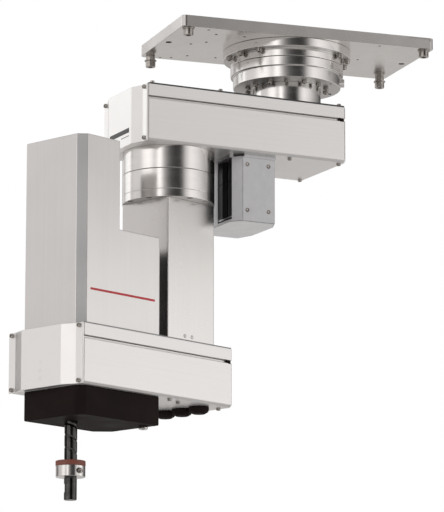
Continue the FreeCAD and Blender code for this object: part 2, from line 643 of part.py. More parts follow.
j3_spot = (ARM2_MOTOR_U, J3_MOTOR_V)
j4_spot = (ARM2_MOTOR_U, J4_MOTOR_V)
save("j3_motor", ARM2, motor(j3_spot, ARM2_TOP, False))
save("j4_motor", ARM2, motor(j4_spot, ARM2_TOP, False))
save("j3_belt", ARM2, belt(NUT_PULLEY_R, MOTOR_PULLEY_R, (0, 0), j3_spot, J3_BELT_TOP))
save("j4_belt", ARM2, belt(NUT_PULLEY_R, MOTOR_PULLEY_R, (0, 0), j4_spot, J4_BELT_TOP))
for name, spot, belt_top in (("j3", j3_spot, J3_BELT_TOP), ("j4", j4_spot, J4_BELT_TOP)):
    spindle = disc(MOTOR_SHAFT_R, belt_top - BELT_WIDTH - GAP - FLANGE_THICK,
                   ARM2_TOP + MOTOR_BORE - 1, *spot)
    save(name + "_motor_pulley", ARM2,
         union([pulley(MOTOR_PULLEY_R, 0, spot, belt_top), spindle]))

# ---------------------------------------------------------- tool shaft train

nut_bore = disc(SHAFT_R + RUN, TRAY_BOTTOM, ARM2_TOP + 10)
ball_nut = union([disc(NUT_R, BALL_NUT_BOTTOM, ARM2_TOP + 4),
                  pulley(NUT_PULLEY_R, 0, (0, 0), J3_BELT_TOP)])
save("ball_nut", ARM2, ball_nut.cut(nut_bore))

groove_low = DAMPER_TOP - 1
grooves = [block(SHAFT_R - SPLINE_DEPTH, SHAFT_R + 2, -SPLINE_WIDTH / 2, SPLINE_WIDTH / 2,
                 groove_low, SHAFT_TOP + 1) for _ in range(3)]
keys = [block(SHAFT_R - SPLINE_DEPTH + KEY_CLEARANCE, SHAFT_R + 2,
              -SPLINE_WIDTH / 2 + KEY_CLEARANCE, SPLINE_WIDTH / 2 - KEY_CLEARANCE,
              SPLINE_NUT_BOTTOM + 3, SPLINE_NUT_TOP) for _ in range(3)]
for i, (groove, key) in enumerate(zip(grooves, keys)):
    groove.rotate(vec(0, 0, 0), Z_AXIS, 120 * i + 60)
    key.rotate(vec(0, 0, 0), Z_AXIS, 120 * i + 60)

spline_nut = union([disc(NUT_R, SPLINE_NUT_BOTTOM, SPLINE_NUT_TOP),
                    pulley(NUT_PULLEY_R, 0, (0, 0), J4_BELT_TOP)])
save("spline_nut", ARM2, union([spline_nut.cut(nut_bore)] + keys))

# The undercut below the collar ends the splined length; what hangs below it is the tool end
shaft = disc(SHAFT_R, SHAFT_BOTTOM, SHAFT_TOP)
shaft = shaft.cut(ring(SHAFT_R + 1, SHAFT_R - 0.4, COLLAR_BOTTOM - 1.5, COLLAR_BOTTOM))
for groove in grooves:
    shaft = shaft.cut(groove)

clamp_z = 0.5 * (COLLAR_TOP + COLLAR_BOTTOM)
collar = ring(COLLAR_R, SHAFT_R, COLLAR_BOTTOM, COLLAR_TOP)
clamp = screw(M4, 14.0, vec(12.2, -5.0, clamp_z), (0, 1, 0))
head_room = Part.makeCylinder(3.7, 16, vec(12.2, -5.0, clamp_z), vec(0, -1, 0))
slit = block(SHAFT_R - 1, 20, 1.0, 2.0, COLLAR_BOTTOM - 1, COLLAR_TOP + 1)
collar = collar.cut(head_room).cut(clamp).cut(slit.cut(clamp))
collar.rotate(vec(0, 0, 0), Z_AXIS, COLLAR_TURN)
clamp.rotate(vec(0, 0, 0), Z_AXIS, COLLAR_TURN)
save("tool_shaft", ARM2, shaft)
save("stop_collar", ARM2, collar)
save("collar_screw", ARM2, clamp)
save("damper_ring", ARM2, ring(DAMPER_R, SHAFT_R, COLLAR_TOP, DAMPER_TOP))
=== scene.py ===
import bmesh
import bpy
import json
import math
from mathutils import Matrix, Vector


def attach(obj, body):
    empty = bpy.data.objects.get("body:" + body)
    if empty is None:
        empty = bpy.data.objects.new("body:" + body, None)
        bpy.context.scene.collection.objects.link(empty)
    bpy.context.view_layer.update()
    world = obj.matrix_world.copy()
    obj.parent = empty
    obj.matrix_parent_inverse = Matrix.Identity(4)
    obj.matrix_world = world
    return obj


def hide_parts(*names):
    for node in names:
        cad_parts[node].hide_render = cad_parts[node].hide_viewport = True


# Looks of the ceiling-mounted SCARA robot arm.
# Lengths below are millimetres in the part's own frames, but for the camera and the
# studio, which are in metres; meshes are written in metres.
#   base frame   origin on J1
#   arm 1 frame  origin on J2, u towards J1, v across the arm
#   arm 2 frame  origin on J3, u towards J2, v across the arm

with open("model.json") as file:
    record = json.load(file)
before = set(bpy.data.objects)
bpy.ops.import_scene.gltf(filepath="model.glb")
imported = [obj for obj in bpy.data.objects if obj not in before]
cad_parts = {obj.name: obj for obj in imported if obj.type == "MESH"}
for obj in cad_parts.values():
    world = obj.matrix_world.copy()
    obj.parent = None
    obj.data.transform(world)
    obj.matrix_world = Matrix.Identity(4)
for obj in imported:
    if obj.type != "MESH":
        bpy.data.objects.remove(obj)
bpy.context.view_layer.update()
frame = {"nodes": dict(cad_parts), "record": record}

# ---------------------------------------------------------------- dimensions

MM = 0.001
ARM_LENGTH = 175.0
ARM1_ANGLE = 6.84
ARM2_ANGLE = 27.55

PLATE_X = 354.0
PLATE_Y = 172.5
PLATE_BOTTOM = -15.0
BOLT_X = 166.0
BOLT_Y = 76.0
LOCATING_X = 166.5
TAPPED_R = 1.7
TAPPED_SPOTS = [(-136, -1.5), (-138, -76), (-121, -58), (-82.5, -60), (-120, -17),
                (-151, 80), (-137, 75), (-120, 58), (-81, 55), (102, -77), (102, -1)]

FLANGE_R = 85.0
FLANGE_BOTTOM = -26.5
STATOR_R = 75.0
STATOR_BOTTOM = -37.2
OIL_HOLE_R = 1.4
OIL_HOLE_Z = -32.0
OIL_HOLE_AT = -92.3         # heading from J1, degrees
ROTOR_TOP = -37.6
ROTOR_STEP = -49.6
ROTOR_LOWER_R = 71.5
ROTOR_BOTTOM = -65.0
HUB_R = 45.0
HUB_SCREWS = 14
HUB_SCREW_R = 53.0
FLANGE_SCREW_R = 80.0

WALL = 8.0
SIDE_WALL = 12.0
GROOVE_DROP = 15.2
GROOVE_HEIGHT = 4.6
GROOVE_DEPTH = 5.5
GROOVE_LIP = 2.6
GROOVE_SHADE_INSET = 4.6           # black strip of painted shade under the top of a groove starts this far in
CHAMFER = 3.0
NOTCH_DEPTH = 7.0
NOTCH_FROM = 9.4
NOTCH_TO = 1.9
NOTCH_HEIGHT = 5.0
LID = 2.0
CAP_FLANGE = 3.0
CAP_RISE = 7.5
CAP_SCREW_V = 6.0           # cap screws stand this far in from the sides
CAP_SCREW_Z = 3.8           # and this far from the top and bottom
GASKET = 0.5

ARM1 = {"left": -59.6, "right": 229.4, "half": 64.5, "top": -97.4, "bottom": -172.1}
ARM2 = {"left": -42.9, "right": 228.6, "half": 65.0, "top": -429.5, "bottom": -505.5}

J2_R = 60.0
J2_STATOR_BOTTOM = -202.3
J2_ROTOR_TOP = -202.7
J2_SPLIT = -229.6
SIDE_HOLE_R = 2.2
SIDE_HOLE_Z = -213.0
SIDE_HOLE_AT = 37.0
COLUMN_TOP = -240.3
COLUMN_SCREW_R = 55.3
COLUMN_U = 88.0
COLUMN_V = 82.0
COLUMN_WALL = 10.0

BOX_PLAN = [(70, -40), (82, -52), (129, -52), (138, -30),
            (138, 30), (129, 54), (82, 54), (70, 42)]
BOX_BOTTOM = -262.0
BOX_RIM = 5.0
SHEET = 1.5

COVER_UPPER = [(-41, -47), (-31, -57), (27, -57), (27, 43), (-41, 43)]
COVER_LOWER = [(-41, -47), (-31, -57), (100, -57), (100, 25), (82, 43), (-41, 43)]
COVER_TOP = -188.5
COVER_STEP = -302.0
TRAY_BOTTOM = -542.0
TRAY_WALL = 2.5
STUD_SPOT = (90, -38)
GLAND_U = 195
GLAND_SPOTS = [(GLAND_U, v) for v in (23, -6.5, -36)]
GLAND_BORE = 9.05

SHAFT_R = 8.0
SHAFT_TOP = -240.0
SHAFT_BOTTOM = -640.2
SPLINE_WIDTH = 3.0
SPLINE_DEPTH = 1.2
BALL_LEAD = 16.0
BALL_WIDTH = 3.2
BALL_DEPTH = 0.55
FLAT_TOP = -619.7           # clamping flat near the shaft's lower end
FLAT_BOTTOM = -630.8
FLAT_DEPTH_AT = 7.0
FLAT_TURN = 132.4
RING_GROOVE_R = 7.6         # groove right under the collar
DAMPER_R = 18.7
DAMPER_TOP = -591.5
SPLINES_END = DAMPER_TOP - 1
COLLAR_R = 18.4
COLLAR_TOP = -597.9
COLLAR_BOTTOM = -611.8
COLLAR_TURN = -50.0
CLAMP_U = 12.2
CLAMP_V = -5.0

# Screws: shank radius, head radius, head height, hexagon socket radius
M3 = (1.5, 2.75, 3.0, 1.45)
M3_LOW = (1.5, 2.4, 1.4, 1.0)
M4 = (2.0, 3.5, 4.0, 1.75)
M5 = (2.5, 4.25, 5.0, 2.3)
M8 = (4.0, 6.5, 8.0, 3.45)

TURNED_STEPS = 192          # sides of a large turned part
SHAFT_STEPS = 96
SMOOTH_ANGLE = 32.0         # edges sharper than this stay sharp, degrees
SAME_WAY = 0.97             # cosine between directions that count as one
TOOL_MARKS = (30, 30, 1500) # stretch of the noise that draws lathe rings
MIX_FIRST, MIX_SECOND, MIX_RESULT = 6, 7, 2     # colour sockets of a mix node
FOLD = (-math.sqrt(0.5), -math.sqrt(0.5), 0)    # way that a sheet's folded corner looks

# Camera: the photograph's viewing angle; places in metres, angles in degrees
CAMERA_PLACE = (-1.5494, -3.9861, -1.1392)
CAMERA_AZIMUTH = -20.085
CAMERA_ELEVATION = -11.221
CAMERA_LENS = 232.4
CAMERA_SENSOR = 36.0        # width, millimetres
FLOOR_Z = -6.0

# -------------------------------------------------------------------- frames


def heading(angle, length):
    """End point of a step of the given length along a heading."""
    turn = math.radians(angle)
    return Vector((length * math.cos(turn), length * math.sin(turn), 0))


def placed(origin, angle):
    """Matrix of a frame with its origin in millimetres, turned about the vertical."""
    return Matrix.Translation(origin * MM) @ Matrix.Rotation(math.radians(angle), 4, "Z")


j2_origin = heading(ARM1_ANGLE, -ARM_LENGTH)
j3_origin = j2_origin + heading(ARM2_ANGLE, -ARM_LENGTH)
BASE_FRAME = Matrix.Identity(4)
ARM1_FRAME = placed(j2_origin, ARM1_ANGLE)
ARM2_FRAME = placed(j3_origin, ARM2_ANGLE)
COLUMN_FRAME = placed(j2_origin, ARM2_ANGLE)
J1_FRAME = placed(Vector((0, 0, 0)), ARM1_ANGLE)
COLLAR_FRAME = placed(j3_origin, ARM2_ANGLE + COLLAR_TURN)

# ----------------------------------------------------------------- materials


class Finish:
    """A node material whose colour, roughness and bump vary over the surface."""

    def __init__(self, name, metallic):
        self.material = bpy.data.materials.new(name)
        self.material.use_nodes = True
        self.nodes = self.material.node_tree.nodes
        self.links = self.material.node_tree.links
        self.shader = self.nodes["Principled BSDF"]
        self.shader.inputs["Metallic"].default_value = metallic
        self.where = self.nodes.new("ShaderNodeTexCoord").outputs["Object"]

    def stretched(self, stretch):
        """Object coordinates scaled per axis, for streaks along the smallest factor."""
        mapping = self.nodes.new("ShaderNodeMapping")
        mapping.inputs["Scale"].default_value = stretch
        self.links.new(self.where, mapping.inputs["Vector"])
        return mapping.outputs["Vector"]

    def noise(self, scale, stretch=(1, 1, 1), detail=4.0):
        """Fractal noise value over the surface."""
        node = self.nodes.new("ShaderNodeTexNoise")
        node.inputs["Scale"].default_value = scale
        node.inputs["Detail"].default_value = detail
        self.links.new(self.stretched(stretch), node.inputs["Vector"])
        return node.outputs["Fac"]

    def cells(self, scale, stretch=(1, 1, 1)):
        """Grey level of each voronoi cell, for spangled or crystalline sheet."""
        node = self.nodes.new("ShaderNodeTexVoronoi")
        node.inputs["Scale"].default_value = scale
        self.links.new(self.stretched(stretch), node.inputs["Vector"])
        grey = self.nodes.new("ShaderNodeSeparateColor")
        self.links.new(node.outputs["Color"], grey.inputs["Color"])
        return grey.outputs["Red"]

    def ramp(self, value, stops):
        """Colour ramp through (position, colour) stops."""
        node = self.nodes.new("ShaderNodeValToRGB")
        bar = node.color_ramp
        while len(bar.elements) < len(stops):
            bar.elements.new(0.5)
        for element, (position, colour) in zip(bar.elements, stops):
            element.position = position
            element.color = (*colour, 1.0)
        self.links.new(value, node.inputs["Fac"])
        return node.outputs["Color"]

    def spread(self, value, low, high, source=(0.3, 0.7)):
        """Value rescaled from the source range to low..high."""
        node = self.nodes.new("ShaderNodeMapRange")
        node.inputs["From Min"].default_value = source[0]
        node.inputs["From Max"].default_value = source[1]
        node.inputs["To Min"].default_value = low
        node.inputs["To Max"].default_value = high
        self.links.new(value, node.inputs["Value"])
        return node.outputs["Result"]

    def multiplied(self, first, second):
        """Product of two colours."""
        node = self.nodes.new("ShaderNodeMix")
        node.data_type = "RGBA"
        node.blend_type = "MULTIPLY"
        node.inputs["Factor"].default_value = 1.0
        self.links.new(first, node.inputs[MIX_FIRST])
        self.links.new(second, node.inputs[MIX_SECOND])
        return node.outputs[MIX_RESULT]

    def colour(self, socket):
        self.links.new(socket, self.shader.inputs["Base Color"])

    def roughness(self, socket):
        self.links.new(socket, self.shader.inputs["Roughness"])

    def bump(self, value, depth, strength):
        """Surface relief; depth is its height in millimetres."""
        node = self.nodes.new("ShaderNodeBump")
        node.inputs["Distance"].default_value = depth * MM
        node.inputs["Strength"].default_value = strength
        self.links.new(value, node.inputs["Height"])
        self.links.new(node.outputs["Normal"], self.shader.inputs["Normal"])


def grey(level, warm=0.0):
    """Grey colour, slightly warm for a positive second value."""
    return (level * (1 + warm), level, level * (1 - warm))


def streaked_metal(name, level, warm, metallic, rough, streak, depth=0.004, contrast=0.05):
    """Metal or metallic paint with long streaks, blotches and a fine grain."""
    finish = Finish(name, metallic)
    lines = finish.noise(1.0, streak, 6.0)
    blotches = finish.noise(11.0, (1, 1, 1), 4.0)
    stops = [(0.3, grey(level * (1 - contrast), warm)), (0.7, grey(level * (1 + contrast), warm))]
    broad = finish.ramp(blotches, [(0.3, grey(1 - 4 * contrast)), (0.7, grey(1.0))])
    finish.colour(finish.multiplied(finish.ramp(lines, stops), broad))
    finish.roughness(finish.spread(blotches, rough * 0.9, rough * 1.1))
    finish.bump(lines, depth, 0.3)
    return finish


def turned_metal(name, level, warm, rough, lay=0.6):
    """Lathe-cut metal: rings of tool marks round the part's own axis."""
    finish = Finish(name, 1.0)
    rings = finish.noise(1.0, TOOL_MARKS, 5.0)
    stains = finish.noise(22.0, (1, 1, 2.5), 4.0)
    tone = finish.ramp(rings, [(0.3, grey(level * 0.965, warm)), (0.7, grey(level * 1.02, warm))])
    cast = finish.ramp(stains, [(0.35, grey(0.93)), (0.65, grey(1.0))])
    finish.colour(finish.multiplied(tone, cast))
    finish.roughness(finish.spread(stains, rough * 0.85, rough * 1.2))
    finish.bump(rings, 0.003, 0.15)
    tangent = finish.nodes.new("ShaderNodeTangent")
    tangent.direction_type = "RADIAL"
    tangent.axis = "Z"
    finish.links.new(tangent.outputs["Tangent"], finish.shader.inputs["Tangent"])
    finish.shader.inputs["Anisotropic"].default_value = lay
    return finish


def moulded(name, colour, rough, grain, depth, contrast=0.12, metallic=0.0):
    """Moulded plastic or cast paint with a fine leathery grain."""
    finish = Finish(name, metallic)
    dark = tuple(c * (1 - contrast) for c in colour)
    light = tuple(min(1.0, c * (1 + contrast)) for c in colour)
    wear = finish.noise(25.0, (1, 1, 1), 5.0)
    finish.colour(finish.ramp(wear, [(0.3, dark), (0.7, light)]))
    finish.roughness(finish.spread(wear, rough * 0.85, rough * 1.15))
    finish.bump(finish.noise(grain, (1, 1, 1), 3.0), depth, 0.5)
    return finish


def zinc_sheet(name, level):
    """Galvanised sheet: pale bluish spangles with soft borders."""
    finish = Finish(name, 0.9)
    spangle = finish.cells(140.0, (1, 1, 0.8))
    cloud = finish.noise(60.0, (1, 1, 1), 5.0)
    crystals = finish.ramp(spangle, [(0.0, grey(0.93 * level, -0.008)), (1.0, grey(level, -0.008))])
    haze = finish.ramp(cloud, [(0.3, (0.93, 0.93, 0.94)), (0.7, (1.0, 1.0, 1.0))])
    finish.colour(finish.multiplied(crystals, haze))
    finish.roughness(finish.spread(spangle, 0.3, 0.35, (0.0, 1.0)))
    finish.bump(cloud, 0.004, 0.2)
    return finish


def plated_steel(name, level, warm, rough, contrast=0.25):
    """Small screws and fittings: plated steel darkened unevenly by handling."""
    finish = Finish(name, 1.0)
    tarnish = finish.noise(120.0, (1, 1, 1), 4.0)
    finish.colour(finish.ramp(tarnish, [(0.35, grey(level * (1 - contrast), warm)),
                                        (0.65, grey(level * (1 + contrast), warm))]))
    finish.roughness(finish.spread(tarnish, rough * 0.8, rough * 1.3))
    finish.bump(finish.noise(900.0, (1, 1, 1), 2.0), 0.01, 0.4)
    return finish


FINISHES = {
    "plate": streaked_metal("plate", 0.58, 0.03, 1.0, 0.28, (60, 60, 60), 0.002, 0.03),
    "turned_metal": turned_metal("turned_metal", 0.78, 0.022, 0.17, 0.5),
    "screws": plated_steel("screws", 0.38, 0.07, 0.25),
    "bearing_steel": turned_metal("bearing_steel", 0.62, 0.0, 0.16, 0.3),
    "arm_metal": streaked_metal("arm_metal", 0.86, 0.02, 0.6, 0.36, (5, 260, 380), 0.002, 0.012),
    "dark_sheet": moulded("dark_sheet", (0.045, 0.045, 0.05), 0.5, 1400.0, 0.02),
    "cap_plastic": moulded("cap_plastic", (0.94, 0.93, 0.915), 0.32, 400.0, 0.0005, 0.01, 0.75),
    "zinc_sheet": zinc_sheet("zinc_sheet", 0.55),
    "motor_black": moulded("motor_black", (0.02, 0.02, 0.022), 0.45, 900.0, 0.04, 0.2),
    "belt_rubber": moulded("belt_rubber", (0.025, 0.025, 0.028), 0.7, 1500.0, 0.02, 0.25),
    "pulley_metal": turned_metal("pulley_metal", 0.6, 0.02, 0.3, 0.3),
    "grey_sheet": streaked_metal("grey_sheet", 0.77, 0.022, 0.75, 0.34, (240, 240, 5), 0.001, 0.014),
    "black_plastic": moulded("black_plastic", (0.021, 0.0155, 0.0145), 0.6, 700.0, 0.03, 0.2),
    "shaft_steel": plated_steel("shaft_steel", 0.07, 0.03, 0.16),
    "collar_steel": plated_steel("collar_steel", 0.64, 0.03, 0.16, 0.05),
    "damper": moulded("damper", (0.25, 0.075, 0.05), 0.5, 1200.0, 0.03),
}
FINISHES["black_plastic"].shader.inputs["Specular IOR Level"].default_value = 0.03
PLATE_FACE = streaked_metal("plate_face", 0.56, 0.03, 1.0, 0.2, (60, 60, 60), 0.002, 0.03)
# Lighter copy of the zinc for the motor box's top and bottom faces: painted light.
ZINC_BELOW_LIT = zinc_sheet("zinc_below_lit", 0.78)
FACED = streaked_metal("faced_metal", 0.6, 0.02, 1.0, 0.42, (60, 60, 60), 0.002, 0.03)
# Lighter copy of the plate metal for the plate's left end: painted light.
PLATE_END_LIT = streaked_metal("plate_end_lit", 0.86, 0.02, 1.0, 0.3, (60, 60, 60), 0.002, 0.03)
# Darker copy of the zinc for the motor box's folded corner: painted shade.
ZINC_FOLD_SHADED = zinc_sheet("zinc_fold_shaded", 0.44)
# Lighter copy of the cover sheet for the tall cover's folded corner: painted light.
COVER_FOLD_LIT = streaked_metal("cover_fold_lit", 0.94, 0.0, 0.75, 0.34, (240, 240, 5), 0.001, 0.014)
COLUMN_METAL = streaked_metal("column_metal", 0.66, 0.026, 1.0, 0.27, (260, 260, 5), 0.001, 0.012)
# Grey for printed rules and for the painted shade line along arm 2's top edges.
PRINT_AND_SHADE_GREY = moulded("print_and_shade_grey", (0.3, 0.3, 0.31), 0.4, 1200.0, 0.01)
LABEL = moulded("label_black", (0.012, 0.012, 0.013), 0.3, 1200.0, 0.01)
STRIPE = moulded("stripe_red", (0.62, 0.03, 0.04), 0.35, 1200.0, 0.01)

# --------------------------------------------------------------- mesh makers


def polar(radius, angle):
    return radius * math.cos(math.radians(angle)), radius * math.sin(math.radians(angle))


def rounded(points, radius, steps=5):
    """Outline with each corner replaced by an arc; radius is one value or one per corner."""
    count = len(points)
    result = []
    for i, point in enumerate(points):
        size = radius[i] if isinstance(radius, (list, tuple)) else radius
        if size == 0:
            result.append(tuple(point))
            continue
        here = Vector(point)
        back = Vector(points[i - 1]) - here
        ahead = Vector(points[(i + 1) % count]) - here
        half = back.angle(ahead) / 2
        reach = min(size / math.tan(half), 0.49 * back.length, 0.49 * ahead.length)
        start = here + back.normalized() * reach
        end = here + ahead.normalized() * reach
        centre = here + (back.normalized() + ahead.normalized()).normalized() * (reach / math.cos(half))
        arm_a, arm_b = start - centre, end - centre
        turn = arm_a.angle_signed(arm_b) if arm_a.length > 0 else 0.0
        for k in range(steps + 1):
            angle = -turn * k / steps
            swung = Vector((arm_a.x * math.cos(angle) - arm_a.y * math.sin(angle),
                            arm_a.x * math.sin(angle) + arm_a.y * math.cos(angle)))
            result.append(tuple(centre + swung))
    return result


def inset(plan, distance):
    """Plan outline (counter-clockwise) moved inwards by a constant distance."""
    lines = []
    for (u0, v0), (u1, v1) in zip(plan, plan[1:] + plan[:1]):
        length = math.hypot(u1 - u0, v1 - v0)
        du, dv = (u1 - u0) / length, (v1 - v0) / length
        lines.append((u0 - dv * distance, v0 + du * distance, du, dv))
    corners = []
    for (ua, va, dua, dva), (ub, vb, dub, dvb) in zip(lines[-1:] + lines[:-1], lines):
        cross = dua * dvb - dva * dub
        step = ((ub - ua) * dvb - (vb - va) * dub) / cross
        corners.append((ua + dua * step, va + dva * step))
    return corners


def rectangle(u_half, v_half, u=0.0, v=0.0):
    return [(u - u_half, v - v_half), (u + u_half, v - v_half),
            (u + u_half, v + v_half), (u - u_half, v + v_half)]


def loft(bm, rings, capped=True, closed=False):
    """Skin through rings of equal point count; ends are capped, or joined when closed."""
    loops = [[bm.verts.new(Vector(point) * MM) for point in ring] for ring in rings]
    count = len(loops[0])
    pairs = list(zip(loops, loops[1:]))
    if closed:
        pairs.append((loops[-1], loops[0]))
    for low, high in pairs:
        for i in range(count):
            j = (i + 1) % count
            bm.faces.new((low[i], low[j], high[j], high[i]))
    if capped and not closed:
        bm.faces.new(list(reversed(loops[0])))
        bm.faces.new(loops[-1])


def prism(bm, plan, z_low, z_high):
    """Upright prism over a closed (u, v) outline."""
    loft(bm, [[(u, v, z) for u, v in plan] for z in (z_low, z_high)])


def turn(bm, profile, centre=(0.0, 0.0), steps=TURNED_STEPS, closed=True):
    """Body turned about the vertical through centre; closed profiles have a bore."""
    rings = []
    for radius, z in profile:
        rings.append([(centre[0] + radius * math.cos(2 * math.pi * i / steps),
                       centre[1] + radius * math.sin(2 * math.pi * i / steps), z)
                      for i in range(steps)])
    loft(bm, rings, capped=not closed, closed=closed)


def block(bm, u_low, u_high, v_low, v_high, z_low, z_high):
    prism(bm, [(u_low, v_low), (u_high, v_low), (u_high, v_high), (u_low, v_high)], z_low, z_high)


def soften(bm, width, angle=40.0, segments=3):
    """Round every edge that is sharper than angle."""
    bmesh.ops.recalc_face_normals(bm, faces=bm.faces)
    limit = math.radians(angle)
    sharp = [edge for edge in bm.edges if edge.is_manifold and edge.calc_face_angle(0) > limit]
    bmesh.ops.bevel(bm, geom=sharp, offset=width * MM, segments=segments, profile=0.5,
                    affect="EDGES", clamp_overlap=True)


def mesh_of(bm, name):
    bmesh.ops.recalc_face_normals(bm, faces=bm.faces)
    mesh = bpy.data.meshes.new(name)
    bm.to_mesh(mesh)
    bm.free()
    return mesh


def carved(bm, cutter, operation="DIFFERENCE"):
    """Mesh of one shape cut by another, or joined with it."""
    body = bpy.data.objects.new("carved", mesh_of(bm, "carved"))
    tool = bpy.data.objects.new("cutter", mesh_of(cutter, "cutter"))
    for item in (body, tool):
        bpy.context.scene.collection.objects.link(item)
    change = body.modifiers.new("cut", "BOOLEAN")
    change.operation = operation
    change.solver = "EXACT"
    change.object = tool
    view = bpy.context.evaluated_depsgraph_get()
    mesh = bpy.data.meshes.new_from_object(body.evaluated_get(view))
    for item in (body, tool):
        spent = item.data
        bpy.data.objects.remove(item)
        bpy.data.meshes.remove(spent)
    result = bmesh.new()
    result.from_mesh(mesh)
    bpy.data.meshes.remove(mesh)
    bmesh.ops.remove_doubles(result, verts=result.verts, dist=0.002 * MM)
    return result


def piece(name, bm, place, body, slot, finish=None, nodes=(), faced=None, sides=()):
    """Finished object with its mesh and material, parented to its body and hiding the CAD nodes that it
    stands for; slot picks the finish when none is given.

    faced is the finish of the faces that look straight up or down, and sides has
    (direction, finish) pairs for upright faces that look another way."""
    mesh = mesh_of(bm, name)
    item = bpy.data.objects.new(name, mesh)
    bpy.context.scene.collection.objects.link(item)
    item.matrix_world = place
    mesh.materials.append((finish or FINISHES[slot]).material)
    # faced and sides can hold lighter or darker copies of the main finish, which paint light and shade on
    # some faces.
    if faced is not None:
        mesh.materials.append(faced.material)
        for face in mesh.polygons:
            face.material_index = int(abs(face.normal.z) > SAME_WAY)
    for direction, own in sides:
        mesh.materials.append(own.material)
        for face in mesh.polygons:
            if face.normal.dot(Vector(direction)) > SAME_WAY:
                face.material_index = len(mesh.materials) - 1
    for face in mesh.polygons:
        face.use_smooth = True
    mesh.set_sharp_from_angle(angle=math.radians(SMOOTH_ANGLE))
    even = item.modifiers.new("even_normals", "WEIGHTED_NORMAL")
    even.keep_sharp = True
    even.weight = 90
    bpy.context.view_layer.update()
    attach(item, body)
    if nodes:
        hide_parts(*nodes)


def drill(bm, spots, radius, z_low, z_high, mouth, steps=40):
    """Cutter for vertical holes whose lower mouth is chamfered."""
    for spot in spots:
        profile = [(radius + mouth + 1, z_low - 1), (radius, z_low + mouth), (radius, z_high)]
        turn(bm, profile, spot, steps, closed=False)


def bore(bm, radius, z_low, z_high, spot=(0.0, 0.0), steps=48):
    """Cutter for one plain vertical hole."""
    turn(bm, [(radius, z_low), (radius, z_high)], spot, steps, closed=False)


def swing(bm, matrix, start=0):
    """Move the shapes made since vertex number start."""
    bm.verts.ensure_lookup_table()
    bmesh.ops.transform(bm, matrix=matrix, verts=bm.verts[start:])


def turned(angle):
    """Rotation about the vertical, in degrees."""
    return Matrix.Rotation(math.radians(angle), 4, "Z")


def moved(x, y, z):
    """Shift in millimetres."""
    return Matrix.Translation(Vector((x, y, z)) * MM)


def oriented(direction):
    """Rotation that takes +Z to a direction."""
    return Vector((0, 0, 1)).rotation_difference(Vector(direction)).to_matrix().to_4x4()


def cap_screw(bm, size, length, seat, direction=(0, 0, 1), style="socket"):
    """Socket-head or button-head screw: seat point, shank along direction."""
    shank_r, head_r, head_h, socket_r = size
    steps = 48
    knurl = 0.05 if style == "socket" else 0.0
    height = head_h if style == "socket" else 0.55 * head_h
    start = len(bm.verts)

    def ring(radius, z, knurled=False):
        points = []
        for i in range(steps):
            reach = radius - (knurl if knurled and i % 2 else 0.0)
            angle = 2 * math.pi * i / steps
            points.append((reach * math.cos(angle), reach * math.sin(angle), z))
        return points

    def hexagon(radius, z):
        points = []
        for i in range(steps):
            angle = 2 * math.pi * i / steps
            within = (angle % (math.pi / 3)) - math.pi / 6
            reach = radius * math.cos(math.pi / 6) / math.cos(within)
            points.append((reach * math.cos(angle), reach * math.sin(angle), z))
        return points

    rings = [ring(0.6 * shank_r, length), ring(shank_r, length - 0.4 * shank_r), ring(shank_r, 0.02)]
    if style == "socket":
        rings += [ring(head_r - 0.15, 0.0), ring(head_r, -0.2, True), ring(head_r, -height + 0.5, True),
                  ring(head_r - 0.12, -height + 0.3), ring(head_r - 0.4, -height)]
    else:
        rings += [ring(head_r, 0.0), ring(head_r, -0.15 * height), ring(0.93 * head_r, -0.45 * height),
                  ring(0.8 * head_r, -0.8 * height), ring(0.64 * head_r, -height)]
    rings += [ring(1.12 * socket_r, -height), hexagon(socket_r, -height + 0.2),
              hexagon(socket_r, -0.45 * height), ring(0.2 * socket_r, -0.3 * height)]
    loft(bm, rings)
    swing(bm, moved(*seat) @ oriented(direction), start)


def screws_below(bm, size, length, seat, spots, style="socket"):
    """Screws driven upwards into a face whose height is seat."""
    for u, v in spots:
        cap_screw(bm, size, length, (u, v, seat), (0, 0, 1), style)


def turned_piece(name, profile, place, body, slot, nodes, edge, cutter=None):
    """Lathe part from a closed (radius, z) profile with its corners eased."""
    bm = bmesh.new()
    turn(bm, rounded(profile, edge, 3))
    if cutter is not None:
        bm = carved(bm, cutter)
    piece(name, bm, place, body, slot, nodes=nodes, faced=FACED)


# ----------------------------------------------------- base plate and J1

bm = bmesh.new()
prism(bm, rounded(rectangle(PLATE_X / 2, PLATE_Y / 2), 6.0), PLATE_BOTTOM, 0)
soften(bm, 0.6)
holes = bmesh.new()
drill(holes, TAPPED_SPOTS, TAPPED_R, PLATE_BOTTOM, PLATE_BOTTOM + 10, 0.6)
drill(holes, [(-LOCATING_X, 0), (LOCATING_X, 0)], 4.0, PLATE_BOTTOM, 1, 0.6)
block(holes, 141, 172, -PLATE_Y / 2 - 1, -PLATE_Y / 2 + 1.6, -5, -1)
# The plate's left end gets the lighter copy of its metal: painted light.
piece("mounting_plate", carved(bm, holes), BASE_FRAME, "base", "plate", nodes=["base_plate"],
      faced=PLATE_FACE, sides=[((-1, 0, 0), PLATE_END_LIT)])

bm = bmesh.new()
for u in (-BOLT_X, BOLT_X):
    for v in (-BOLT_Y, BOLT_Y):
        drop = 6.0 if v > 0 else 0.0    # the far pair stands on spacers
        seat = PLATE_BOTTOM - drop - 1.6
        cap_screw(bm, M8, -seat, (u, v, seat))
        turn(bm, rounded([(4.3, seat), (8.0, seat), (8.0, seat + 1.6), (4.3, seat + 1.6)], 0.3, 2),
             (u, v), 64)
        if drop:
            low, high = PLATE_BOTTOM - drop, PLATE_BOTTOM
            turn(bm, rounded([(4.3, low), (6.0, low), (6.0, high), (4.3, high)], 0.3, 2), (u, v), 64)
piece("mounting_bolts", bm, BASE_FRAME, "base", "screws", nodes=["plate_bolts"])

